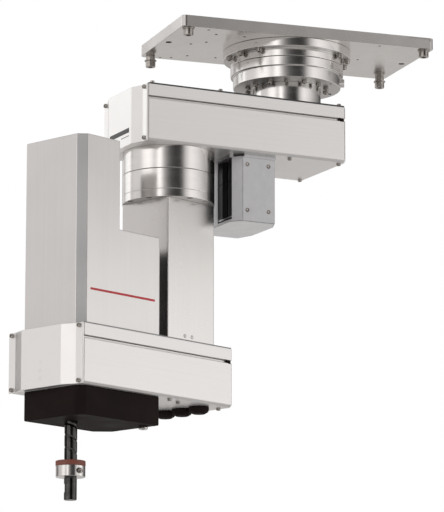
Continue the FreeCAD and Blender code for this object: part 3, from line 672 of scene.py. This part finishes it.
oil_hole = bmesh.new()
bore(oil_hole, OIL_HOLE_R, 0, 8, steps=32)
swing(oil_hole, moved(*polar(STATOR_R - 6, OIL_HOLE_AT), OIL_HOLE_Z)
      @ oriented((*polar(1, OIL_HOLE_AT), 0)))
turned_piece("fixed_flange", [(56, PLATE_BOTTOM), (56, -20), (62, -20), (62, STATOR_BOTTOM),
                              (STATOR_R, STATOR_BOTTOM), (STATOR_R, FLANGE_BOTTOM),
                              (FLANGE_R, FLANGE_BOTTOM), (FLANGE_R, PLATE_BOTTOM)],
             BASE_FRAME, "base", "turned_metal", ["j1_fixed_flange"], 0.6, oil_hole)

flange_angles = [first + 22.5 * i for first in (64.0, 177.0, 311.5) for i in range(3)]
bm = bmesh.new()
screws_below(bm, M5, 9.0, FLANGE_BOTTOM, [polar(FLANGE_SCREW_R, angle) for angle in flange_angles])
piece("flange_screws", bm, BASE_FRAME, "base", "screws", nodes=["j1_flange_screws"])

holes = bmesh.new()
drill(holes, [polar(62.5, -3)], 3.2, ROTOR_BOTTOM, ROTOR_BOTTOM + 8, 0.5)
drill(holes, [polar(65, -55)], TAPPED_R, ROTOR_BOTTOM, ROTOR_BOTTOM + 8, 0.4)
ring_profile = [(8.05, ROTOR_TOP), (8.05, ROTOR_STEP), (20, ROTOR_STEP), (20, ARM1["top"]),
                (HUB_R, ARM1["top"]), (HUB_R, ROTOR_BOTTOM), (ROTOR_LOWER_R, ROTOR_BOTTOM),
                (ROTOR_LOWER_R, ROTOR_STEP), (STATOR_R, ROTOR_STEP), (STATOR_R, ROTOR_TOP)]
turned_piece("turning_ring_1", ring_profile, J1_FRAME, "arm1", "turned_metal", ["j1_turning_ring"],
             0.6, holes)
bm = bmesh.new()
hub_spots = [polar(HUB_SCREW_R, 165 + 360 * i / HUB_SCREWS) for i in range(HUB_SCREWS)]
screws_below(bm, M4, 12.0, ROTOR_BOTTOM, hub_spots)
piece("hub_screws", bm, J1_FRAME, "arm1", "screws", nodes=["j1_hub_screws"])

# ------------------------------------------------------------- arm housings


def arm_shell(arm, cutters):
    """Grooved extrusion, closed and chamfered at its right end, cut by the given shapes."""
    half, top, bottom = arm["half"], arm["top"], arm["bottom"]
    groove = top - GROOVE_DROP
    side = [(half, top), (half, bottom + CHAMFER), (half - CHAMFER, bottom)]
    section = side + [(-v, z) for v, z in reversed(side)]
    stations = [(arm["left"], 0.0), (arm["right"] - CHAMFER, 0.0), (arm["right"], CHAMFER)]
    bm = bmesh.new()
    loft(bm, [[(u, v - math.copysign(draw, v), z) for v, z in section] for u, draw in stations])
    soften(bm, 0.9, 30.0)
    slots = bmesh.new()
    slot = [(half + 2, groove), (half - GROOVE_DEPTH, groove),
            (half - GROOVE_DEPTH, groove - GROOVE_LIP), (half, groove - GROOVE_HEIGHT),
            (half + 2, groove - GROOVE_HEIGHT)]
    for edge in (-1, 1):
        loft(slots, [[(u, edge * v, z) for v, z in slot]
                     for u in (arm["left"] - 1, arm["right"] + 1)])
    bm = carved(bm, slots)
    hollow = bmesh.new()
    block(hollow, arm["left"] - 1, arm["right"] - WALL, -half + SIDE_WALL, half - SIDE_WALL,
          bottom + WALL, top - WALL)
    bm = carved(bm, hollow)
    pockets = bmesh.new()
    for edge in (-1, 1):
        v_low, v_high = sorted((edge * (half + 1), edge * (half - NOTCH_DEPTH)))
        block(pockets, arm["right"] - NOTCH_FROM, arm["right"] - NOTCH_TO, v_low, v_high,
              groove - NOTCH_HEIGHT, groove)
    bm = carved(bm, pockets)
    return carved(bm, cutters)


bores = bmesh.new()
bore(bores, 20, ARM1["top"] - 20, ARM1["top"] + 1, (ARM_LENGTH, 0), 64)
bore(bores, 20, ARM1["bottom"] - 1, ARM1["bottom"] + 20, steps=64)
for v in (-25.0, 25.0):
    bore(bores, 11, ARM1["bottom"] - 1, ARM1["bottom"] + 20, (104.0, v))
piece("arm1_body", arm_shell(ARM1, bores), ARM1_FRAME, "arm1", "arm_metal", nodes=["arm1_housing"])


def gland_bores(cutter):
    """Holes of the cable glands through the underside of arm 2."""
    for spot in GLAND_SPOTS:
        bore(cutter, GLAND_BORE, ARM2["bottom"] - 1, ARM2["bottom"] + 20, spot)


bores = bmesh.new()
bore(bores, 16.05, ARM2["bottom"] - 1, ARM2["top"] + 1, steps=64)
bore(bores, 12, ARM2["top"] - 20, ARM2["top"] + 1, (ARM_LENGTH, 0))
bore(bores, 7, ARM2["top"] - 20, ARM2["top"] + 1, (62, -31))
bore(bores, 7, ARM2["bottom"] - 1, ARM2["top"] + 1, (62, 16))
gland_bores(bores)
piece("arm2_body", arm_shell(ARM2, bores), ARM2_FRAME, "arm2", "arm_metal", nodes=["arm2_housing"])


def end_cap(name, arm, place, body, node):
    """Shallow moulded tray that closes the left end of an arm."""
    seat, half, top, bottom = arm["left"], arm["half"], arm["top"], arm["bottom"]
    face = seat - CAP_FLANGE
    front = face - CAP_RISE
    back = seat - GASKET
    outside = [(back, -half), (back, half), (face, half), (face, half - 12),
               (front, half - 30), (front, -half + 30), (face, -half + 12), (face, -half)]
    outside = [(u, -v) for u, v in outside]
    outside = rounded(outside, [0, 0, 1.2, 2, 3, 3, 2, 1.2])
    inside = [(seat + 1, -half + 13), (seat + 1, half - 13), (face + 2, half - 15),
              (front + 3, half - 31), (front + 3, -half + 31), (face + 2, -half + 15)]
    bm = bmesh.new()
    prism(bm, outside, bottom, top)
    soften(bm, 0.7, 50.0)
    hollow = bmesh.new()
    prism(hollow, inside, bottom + 3, top - 3)
    piece(name, carved(bm, hollow), place, body, "cap_plastic", nodes=[node])
    seal = bmesh.new()
    block(seal, back + 0.01, seat - 0.01, -half + 0.9, half - 0.9, bottom + 0.9, top - 0.9)
    opening = bmesh.new()
    block(opening, back - 1, seat + 1, -half + 13, half - 13, bottom + 8, top - 8)
    piece(name + "_gasket", carved(seal, opening), place, body, "belt_rubber")
    blocks_and_shade = bmesh.new()
    groove = top - GROOVE_DROP
    for edge in (-1, 1):
        v_low, v_high = sorted((edge * (half - NOTCH_DEPTH + 0.1), edge * (half - 2.6)))
        block(blocks_and_shade, arm["right"] - NOTCH_FROM + 0.1, arm["right"] - NOTCH_TO - 0.1, v_low, v_high,
              groove - NOTCH_HEIGHT + 0.1, groove - 0.1)
        # Black strips inside the grooves: painted shade under each groove's top.
        v_low, v_high = sorted((edge * (half - GROOVE_DEPTH + 0.1), edge * (half - GROOVE_SHADE_INSET)))
        block(blocks_and_shade, arm["left"] + 0.5, arm["right"] - NOTCH_FROM - 0.5, v_low, v_high,
              groove - 0.5, groove - 0.05)
    soften(blocks_and_shade, 0.15, 50.0)
    piece(name.replace("cap", "notch_blocks_and_groove_shade"), blocks_and_shade, place, body, "black_plastic")


def cap_screws(bm, arm):
    """Screws in the four corners of an end cap."""
    for v in (CAP_SCREW_V - arm["half"], arm["half"] - CAP_SCREW_V):
        for z in (arm["top"] - CAP_SCREW_Z, arm["bottom"] + CAP_SCREW_Z):
            cap_screw(bm, M3, 12.0, (arm["left"] - CAP_FLANGE, v, z), (1, 0, 0))


end_cap("arm1_cap", ARM1, ARM1_FRAME, "arm1", "arm1_end_cap")
end_cap("arm2_cap", ARM2, ARM2_FRAME, "arm2", "arm2_end_cap")

bm = bmesh.new()
middle = 0.5 * (ARM1["right"] + ARM1["left"])
prism(bm, rounded(rectangle(0.5 * (ARM1["right"] - ARM1["left"]) - 1, ARM1["half"] - 1, middle, 0), 3.0),
      ARM1["top"], ARM1["top"] + LID)
soften(bm, 0.35, 50.0)
bores = bmesh.new()
bore(bores, HUB_R + 1, ARM1["top"] - 1, ARM1["top"] + LID + 1, (ARM_LENGTH, 0), TURNED_STEPS)
piece("arm1_lid", carved(bm, bores), ARM1_FRAME, "arm1", "dark_sheet", nodes=["arm1_top_sheet"])

bm = bmesh.new()
prism(bm, rounded(rectangle(40, 58, 186, 0), 5.0), ARM1["bottom"] + 0.02, ARM1["bottom"] + 3)
soften(bm, 0.3, 50.0)
piece("arm1_hatch", bm, ARM1_FRAME, "arm1", "arm_metal", nodes=["arm1_bottom_cover"])

cover2_plan = [(104, -61), (212, -61), (226, -50), (226, 50), (212, 61), (104, 61)]
bm = bmesh.new()
prism(bm, rounded(cover2_plan, 3.0), ARM2["bottom"] + 0.02, ARM2["bottom"] + 3)
soften(bm, 0.3, 50.0)
bores = bmesh.new()
gland_bores(bores)
piece("arm2_hatch", carved(bm, bores), ARM2_FRAME, "arm2", "arm_metal", nodes=["arm2_bottom_cover"])

bm = bmesh.new()
cap_screws(bm, ARM1)
for u, v in [(-52, -59), (-52, 59), (46, -59), (46, 59), (222, -58), (222, 58)]:
    cap_screw(bm, M3, 8.0, (u, v, ARM1["top"] + LID), (0, 0, -1))
screws_below(bm, M3, 8.0, ARM1["bottom"], [(u, v) for u in (150, 223) for v in (-54, 54)])
piece("arm1_screws", bm, ARM1_FRAME, "arm1", "screws", nodes=["arm1_cover_screws"])

bm = bmesh.new()
cap_screws(bm, ARM2)
screws_below(bm, M3, 8.0, ARM2["bottom"],
             [(118, -57), (118, 57), (144, -47), (144, 47), (220, -47), (220, 47)])
piece("arm2_screws", bm, ARM2_FRAME, "arm2", "screws", nodes=["arm2_cover_screws"])

# Grey strips along the top edges of arm 2: a painted shade line.
bm = bmesh.new()
for side in (-1, 1):
    v_low, v_high = sorted((side * (ARM2["half"] - 0.4), side * (ARM2["half"] - 3.4)))
    block(bm, ARM2["left"] + 2, ARM2["right"] - 3.4, v_low, v_high, ARM2["top"], ARM2["top"] + 1.1)
soften(bm, 0.25, 50.0)
piece("arm2_shade_line", bm, ARM2_FRAME, "arm2", "dark_sheet", PRINT_AND_SHADE_GREY)

# ----------------------------------------------------------------- motor box

bm = bmesh.new()
prism(bm, rounded(BOX_PLAN, 1.5, 4), BOX_BOTTOM, ARM1["bottom"])
soften(bm, 1.2, 50.0)
rim = bmesh.new()
prism(rim, rounded(inset(BOX_PLAN, -1.2), 1.5, 4), ARM1["bottom"] - BOX_RIM, ARM1["bottom"])
bm = carved(bm, rim, "UNION")
hollow = bmesh.new()
prism(hollow, inset(BOX_PLAN, SHEET), BOX_BOTTOM + SHEET, ARM1["bottom"] + 1)
bm = carved(bm, hollow)
window = bmesh.new()
block(window, 60, 84, -41.5, 40, BOX_BOTTOM + 3.5, ARM1["bottom"] - BOX_RIM)
bm = carved(bm, window)
relief = bmesh.new()
block(relief, 66, 84, -56, -41.5, ARM1["bottom"] - BOX_RIM + 0.8, ARM1["bottom"] + 1)
bm = carved(bm, relief)
post = bmesh.new()
block(post, 70, 71.5, -4, 14, BOX_BOTTOM + 1, ARM1["bottom"] - 1)
# Its folded corner gets the darker zinc copy: painted shade.
# The box's top and bottom faces get the lighter zinc copy: painted light.
piece("motor_housing", carved(bm, post, "UNION"), ARM1_FRAME, "arm1", "zinc_sheet", nodes=["motor_box"],
      faced=ZINC_BELOW_LIT, sides=[(FOLD, ZINC_FOLD_SHADED)])

bm = bmesh.new()
for side in (-1, 1):
    for u in (89, 120):
        for z in (-186.4, -247.0):
            cap_screw(bm, M3, 1.5, (u, side * (52 if side < 0 else 54), z), (0, -side, 0), "button")
piece("housing_screws", bm, ARM1_FRAME, "arm1", "screws", nodes=["motor_box_screws"])

# ---------------------------------------------------------- J2 and the column

housing_profile = [(7.05, ARM1["bottom"]), (7.05, -178), (42, -178), (42, -188), (50, -188),
                   (50, J2_STATOR_BOTTOM), (J2_R, J2_STATOR_BOTTOM), (J2_R, ARM1["bottom"])]
turned_piece("joint2_housing", housing_profile, ARM1_FRAME, "arm1", "turned_metal", ["j2_housing"], 0.6)

side_hole = bmesh.new()
bore(side_hole, SIDE_HOLE_R, -1, 12, steps=32)
swing(side_hole, turned(SIDE_HOLE_AT) @ moved(0, -J2_R, SIDE_HOLE_Z) @ oriented((0, 1, 0)))
turned_piece("turning_ring_2", [(12, J2_ROTOR_TOP), (12, J2_SPLIT), (J2_R, J2_SPLIT), (J2_R, J2_ROTOR_TOP)],
             COLUMN_FRAME, "arm2", "turned_metal", ["j2_turning_ring"], 0.5, side_hole)
column_spots = [polar(COLUMN_SCREW_R, 90 * i + side * 17) for i in range(4) for side in (-1, 1)]
pockets = bmesh.new()
drill(pockets, column_spots, 4.2, COLUMN_TOP, COLUMN_TOP + 5, 0.3)
turned_piece("flange_2", [(12, J2_SPLIT), (12, COLUMN_TOP), (J2_R, COLUMN_TOP), (J2_R, J2_SPLIT)],
             COLUMN_FRAME, "arm2", "turned_metal", ["column_flange"], 0.5, pockets)
bm = bmesh.new()
screws_below(bm, M4, 14.0, COLUMN_TOP + 5, column_spots)
piece("flange_2_screws", bm, COLUMN_FRAME, "arm2", "screws", nodes=["column_flange_screws"])

bm = bmesh.new()
prism(bm, rounded(rectangle(COLUMN_U / 2, COLUMN_V / 2), 2.0), ARM2["top"], COLUMN_TOP)
soften(bm, 0.4, 50.0)
hollow = bmesh.new()
block(hollow, -COLUMN_U / 2 + COLUMN_WALL, COLUMN_U / 2 - COLUMN_WALL, -COLUMN_V / 2 + COLUMN_WALL,
      COLUMN_V / 2 - COLUMN_WALL, ARM2["top"] - 1, COLUMN_TOP + 1)
piece("column_body", carved(bm, hollow), COLUMN_FRAME, "arm2", "arm_metal", COLUMN_METAL, ["column"])
bm = bmesh.new()
for u in (-11.6, 1.6):
    for side in (-1, 1):
        cap_screw(bm, M3_LOW, 8.0, (u, side * COLUMN_V / 2, ARM2["top"] + 11.5), (0, -side, 0), "button")
piece("foot_screws", bm, COLUMN_FRAME, "arm2", "screws", COLUMN_METAL, ["column_screws"])

# -------------------------------------------------------------------- covers

bm = bmesh.new()
prism(bm, rounded(COVER_UPPER, [1.5, 1.5, 2.0, 2.0, 2.0], 4), ARM2["top"], COVER_TOP)
soften(bm, 1.2, 50.0)
step_plan = [(0, -57), (100, -57), (100, 25), (82, 43), (0, 43)]
step = bmesh.new()
prism(step, rounded(step_plan, [0, 2.0, 1.5, 1.5, 0], 4), ARM2["top"], COVER_STEP)
soften(step, 1.2, 50.0)
bm = carved(bm, step, "UNION")
for plan, top in ((COVER_UPPER, COVER_TOP), (COVER_LOWER, COVER_STEP)):
    hollow = bmesh.new()
    prism(hollow, inset(plan, SHEET), ARM2["top"] - 1, top - SHEET)
    bm = carved(bm, hollow)
# The cover's folded corner gets the lighter copy of the sheet: painted light.
piece("drive_cover", bm, ARM2_FRAME, "arm2", "grey_sheet", nodes=["tall_cover"],
      sides=[(FOLD, COVER_FOLD_LIT)])

# Black sheet over the cover's right end: painted shade, which the column's metal face in the gap reflects.
bm = bmesh.new()
block(bm, 100.0, 100.5, -53, 22, ARM2["top"] + 2, COVER_STEP - 4)
soften(bm, 0.15, 50.0)
piece("cover_end_shade_panel", bm, ARM2_FRAME, "arm2", "black_plastic")

bm = bmesh.new()
prism(bm, rounded(COVER_LOWER, [2.0, 2.0, 3.0, 3.0, 3.0, 3.0]), TRAY_BOTTOM, ARM2["bottom"])
soften(bm, 1.5, 50.0)
boss = bmesh.new()
profile = [(0.5, TRAY_BOTTOM - 4), (5.5, TRAY_BOTTOM - 4),
           (5.5, TRAY_BOTTOM + 6), (0.5, TRAY_BOTTOM + 6)]
turn(boss, rounded(profile, 0.8, 3), STUD_SPOT, 48, closed=False)
bm = carved(bm, boss, "UNION")
hollow = bmesh.new()
prism(hollow, inset(COVER_LOWER, TRAY_WALL), TRAY_BOTTOM + TRAY_WALL, ARM2["bottom"] + 1)
bm = carved(bm, hollow)
bores = bmesh.new()
drill(bores, [(0, 0)], SHAFT_R + 0.6, TRAY_BOTTOM, ARM2["bottom"], 0.8, 64)
piece("lower_cover", carved(bm, bores), ARM2_FRAME, "arm2", "black_plastic", nodes=["bottom_cover"])

bm = bmesh.new()
profile = [(2.0, TRAY_BOTTOM - 4.3), (5.0, TRAY_BOTTOM - 4.3), (5.8, TRAY_BOTTOM - 3.2),
           (5.8, TRAY_BOTTOM - 1.2), (5.2, TRAY_BOTTOM - 0.8), (2.0, TRAY_BOTTOM - 3.9)]
turn(bm, rounded(profile, 0.2, 2), STUD_SPOT, 48)
piece("cover_stud", bm, ARM2_FRAME, "arm2", "screws", FINISHES["collar_steel"])

bm = bmesh.new()
high = ARM2["bottom"]
low = high - 9.2
profile = [(0.5, low), (8.0, low), (12.0, low + 2.5), (13.0, low + 5.0), (13.0, high),
           (9.0, high), (9.0, high + 12), (0.5, high + 12)]
for spot in GLAND_SPOTS:
    turn(bm, rounded(profile, 0.8, 3), spot, 64, closed=False)
piece("glands", bm, ARM2_FRAME, "arm2", "black_plastic", nodes=["cable_glands"])

# ---------------------------------------------------------------- tool shaft


def shaft_radius(angle, z):
    """Radius of the splined part: three spline grooves and the ball track."""
    radius = SHAFT_R
    for k in range(3):
        centre = math.radians(120 * k + 60)
        off = (angle - centre + math.pi) % (2 * math.pi) - math.pi
        if abs(off) * SHAFT_R < SPLINE_WIDTH / 2:
            radius = SHAFT_R - SPLINE_DEPTH
    phase = (angle / (2 * math.pi) + z / BALL_LEAD) % 1.0 - 0.5
    width = BALL_WIDTH / BALL_LEAD / 2
    if abs(phase) < width:
        radius = min(radius, SHAFT_R - BALL_DEPTH * math.cos(0.5 * math.pi * phase / width))
    return radius


def shaft_ring(z, radius=None):
    """Outline at one height, plain where a radius is given."""
    points = []
    for i in range(SHAFT_STEPS):
        angle = 2 * math.pi * i / SHAFT_STEPS
        reach = shaft_radius(angle, z) if radius is None else radius
        points.append((reach * math.cos(angle), reach * math.sin(angle), z))
    return points


rings = []
z = SHAFT_TOP
while z > SPLINES_END:
    rings.append(shaft_ring(z))
    z -= 1.0
rings.append(shaft_ring(SPLINES_END, SHAFT_R))
for radius, z in ((SHAFT_R, COLLAR_BOTTOM), (RING_GROOVE_R, COLLAR_BOTTOM - 0.01),
                  (RING_GROOVE_R, COLLAR_BOTTOM - 1.5), (SHAFT_R, COLLAR_BOTTOM - 1.51),
                  (SHAFT_R, SHAFT_BOTTOM + 0.8), (SHAFT_R - 0.8, SHAFT_BOTTOM)):
    rings.append(shaft_ring(z, radius))
bm = bmesh.new()
loft(bm, rings)
flat = bmesh.new()
block(flat, FLAT_DEPTH_AT, SHAFT_R + 2, -SHAFT_R, SHAFT_R, FLAT_BOTTOM, FLAT_TOP)
swing(flat, turned(FLAT_TURN))
piece("splined_shaft", carved(bm, flat), ARM2_FRAME, "shaft", "shaft_steel", nodes=["tool_shaft"])

bm = bmesh.new()
profile = [(SHAFT_R, COLLAR_BOTTOM), (COLLAR_R, COLLAR_BOTTOM),
           (COLLAR_R, COLLAR_TOP), (SHAFT_R, COLLAR_TOP)]
turn(bm, rounded(profile, 0.6, 3), steps=SHAFT_STEPS)
clamp_z = 0.5 * (COLLAR_TOP + COLLAR_BOTTOM)
head_room = bmesh.new()
bore(head_room, 3.7, 0, 16, steps=40)
swing(head_room, moved(CLAMP_U, CLAMP_V, clamp_z) @ oriented((0, -1, 0)))
bm = carved(bm, head_room)
slit = bmesh.new()
block(slit, SHAFT_R - 1, 20, 1.0, 2.0, COLLAR_BOTTOM - 1, COLLAR_TOP + 1)
bm = carved(bm, slit)
piece("shaft_collar", bm, COLLAR_FRAME, "shaft", "collar_steel", nodes=["stop_collar"])
bm = bmesh.new()
cap_screw(bm, M4, 14.0, (CLAMP_U, CLAMP_V, clamp_z), (0, 1, 0))
piece("clamp_screw", bm, COLLAR_FRAME, "shaft", "screws", nodes=["collar_screw"])

profile = [(SHAFT_R, COLLAR_TOP), (DAMPER_R, COLLAR_TOP), (DAMPER_R, DAMPER_TOP), (SHAFT_R, DAMPER_TOP)]
bm = bmesh.new()
turn(bm, rounded(profile, 0.7, 3), steps=SHAFT_STEPS)
piece("damper_pad", bm, ARM2_FRAME, "shaft", "damper", nodes=["damper_ring"])

# ------------------------------------------------------------ applied details

bm = bmesh.new()
cap1_face = ARM1["left"] - CAP_FLANGE - CAP_RISE
block(bm, cap1_face - 0.3, cap1_face, -27.7, 29.8, -155.5, -149.5)
soften(bm, 0.1, 50.0)
piece("label_strip", bm, ARM1_FRAME, "arm1", "dark_sheet", LABEL)
bm = bmesh.new()
block(bm, cap1_face - 0.15, cap1_face, -27.0, -4.0, -160.6, -159.4)
soften(bm, 0.05, 50.0)
piece("label_rule", bm, ARM1_FRAME, "arm1", "dark_sheet", PRINT_AND_SHADE_GREY)

bm = bmesh.new()
cap2_face = ARM2["left"] - CAP_FLANGE - CAP_RISE
for z in (-474.0, -484.0, -494.0):
    start = len(bm.verts)
    turn(bm, rounded([(1.7, 0), (2.5, 0), (2.5, 0.25), (1.7, 0.25)], 0.08, 2), steps=48)
    swing(bm, moved(cap2_face, 1.5, z) @ oriented((-1, 0, 0)), start)
piece("cap_rings", bm, ARM2_FRAME, "arm2", "cap_plastic")

bm = bmesh.new()
block(bm, -25, 90.4, -57.15, -57, -385.5, -382.6)
soften(bm, 0.05, 50.0)
piece("stripe", bm, ARM2_FRAME, "arm2", "grey_sheet", STRIPE)

# -------------------------------------------------- CAD nodes that stay shown

for entry in frame["record"]["subparts"]:
    node = frame["nodes"][entry["node"]]
    finish = FINISHES[entry["material_slot"]]
    node.data.materials.clear()
    node.data.materials.append(finish.material)

# ---------------------------------------------------------- studio and camera

# Studio surroundings as (degrees to the right of the camera's back, radiance): a narrow
# softbox just left of the camera, a dark flag right of it, pale walls, a dark corner behind.
STUDIO = [(-180, 0.05), (-172, 0.1), (-162, 0.75), (-145, 0.75), (-130, 0.12), (-114, 0.32),
          (-95, 0.78), (-80, 0.76), (-70, 0.85), (-64, 1.2), (-48, 1.35), (-40, 1.12), (-34, 0.7),
          (-29, 0.85), (-24, 1.5), (-18, 1.5), (-12, 0.6), (-5, 0.3), (2, 0.13), (10, 0.06),
          (28, 0.02), (36, 0.1), (44, 0.65), (58, 1.1), (80, 0.85), (100, 0.52), (125, 0.25),
          (150, 0.07), (180, 0.05)]
CEILING = 0.42              # radiance overhead
FAR_FLOOR = 0.7             # radiance from below the horizon
CEILING_BLEND = (0.3, 0.8)  # sines of the elevation between which walls turn into ceiling
FLOOR_BLEND = (-0.03, -0.14)    # and into floor
WALL_TINT = (1.03, 1.0, 0.99)
FLOOR_TINT = (1.035, 1.0, 0.98)

# Softboxes: name, degrees right of the camera's back, elevation, distance, size, radiance, aim
SOFTBOXES = [("softbox_left", -122, 15, 1.2, 0.6, 1.0, (-0.25, -0.03, -0.1)),
             ("softbox_right", 93, 2, 1.35, 0.8, 0.65, (-0.3, -0.1, -0.5))]


def studio_world(azimuth):
    """Pale studio light all round, seen as plain white by the camera itself."""
    world = bpy.data.worlds.new("studio")
    world.use_nodes = True
    nodes, links = world.node_tree.nodes, world.node_tree.links
    nodes.clear()

    def eased(value, span):
        """0 to 1 as a value crosses a span."""
        node = nodes.new("ShaderNodeMapRange")
        node.interpolation_type = "SMOOTHSTEP"
        node.inputs["From Min"].default_value, node.inputs["From Max"].default_value = span
        links.new(value, node.inputs["Value"])
        return node.outputs["Result"]

    def mixed(amount, first, colour):
        """A linked colour that turns into a plain one."""
        node = nodes.new("ShaderNodeMix")
        node.data_type = "RGBA"
        node.inputs[MIX_SECOND].default_value = (*colour, 1)
        links.new(amount, node.inputs["Factor"])
        links.new(first, node.inputs[MIX_FIRST])
        return node.outputs[MIX_RESULT]

    def maths(operation, first, second=None):
        node = nodes.new("ShaderNodeMath")
        node.operation = operation
        links.new(first, node.inputs[0])
        if isinstance(second, float):
            node.inputs[1].default_value = second
        elif second is not None:
            links.new(second, node.inputs[1])
        return node.outputs[0]

    spot = nodes.new("ShaderNodeTexCoord").outputs["Generated"]
    turned = nodes.new("ShaderNodeVectorRotate")
    turned.rotation_type = "Z_AXIS"
    turned.inputs["Angle"].default_value = math.radians(90 - azimuth)
    links.new(spot, turned.inputs["Vector"])
    parts = nodes.new("ShaderNodeSeparateXYZ")
    links.new(turned.outputs["Vector"], parts.inputs["Vector"])
    angle = maths("ARCTAN2", parts.outputs["Y"], parts.outputs["X"])
    fraction = maths("ADD", maths("DIVIDE", angle, 2 * math.pi), 0.5)
    walls = nodes.new("ShaderNodeValToRGB")
    bar = walls.color_ramp
    while len(bar.elements) < len(STUDIO):
        bar.elements.new(0.5)
    for element, (degrees, level) in zip(bar.elements, STUDIO):
        element.position = (degrees + 180) / 360
        element.color = (*(level * tint for tint in WALL_TINT), 1)
    links.new(fraction, walls.inputs["Fac"])
    height = parts.outputs["Z"]
    shade = mixed(eased(height, CEILING_BLEND), walls.outputs["Color"], (CEILING, CEILING, CEILING))
    shade = mixed(eased(height, FLOOR_BLEND), shade, [FAR_FLOOR * tint for tint in FLOOR_TINT])
    seen = nodes.new("ShaderNodeLightPath").outputs["Is Camera Ray"]
    light = nodes.new("ShaderNodeBackground")
    links.new(mixed(seen, shade, (1, 1, 1)), light.inputs["Color"])
    out = nodes.new("ShaderNodeOutputWorld")
    links.new(light.outputs["Background"], out.inputs["Surface"])
    bpy.context.scene.world = world


def softbox(name, side, elevation, distance, size, radiance, aim):
    """Square soft light aimed at a point; the camera itself doesn't see it."""
    turn = math.radians(CAMERA_AZIMUTH - 90 + side)
    rise = math.radians(elevation)
    away = Vector((math.cos(turn) * math.cos(rise), math.sin(turn) * math.cos(rise), math.sin(rise)))
    data = bpy.data.lights.new(name, "AREA")
    data.size = size
    data.energy = radiance * math.pi * size * size
    lamp = bpy.data.objects.new(name, data)
    lamp.location = Vector(aim) + away * distance
    lamp.rotation_mode = "QUATERNION"
    lamp.rotation_quaternion = (-away).to_track_quat("-Z", "Y")
    lamp.visible_camera = False
    bpy.context.scene.collection.objects.link(lamp)


studio_world(CAMERA_AZIMUTH)
for settings in SOFTBOXES:
    softbox(*settings)

bm = bmesh.new()
prism(bm, rounded(rectangle(9000, 9000), 3000.0, 12), FLOOR_Z / MM - 20, FLOOR_Z / MM)
floor = bpy.data.objects.new("floor", mesh_of(bm, "floor"))
bpy.context.scene.collection.objects.link(floor)
floor.data.materials.append(moulded("floor", (0.8, 0.8, 0.8), 0.8, 40.0, 0.5, 0.02).material)

camera_data = bpy.data.cameras.new("camera")
camera_data.lens = CAMERA_LENS
camera_data.sensor_width = CAMERA_SENSOR
camera_data.clip_end = 60.0
camera = bpy.data.objects.new("camera", camera_data)
camera.location = CAMERA_PLACE
camera.rotation_euler = (math.radians(90 - CAMERA_ELEVATION), 0, math.radians(CAMERA_AZIMUTH))
bpy.context.scene.collection.objects.link(camera)
bpy.context.scene.camera = camera
bpy.context.scene.view_settings.view_transform = "Standard"
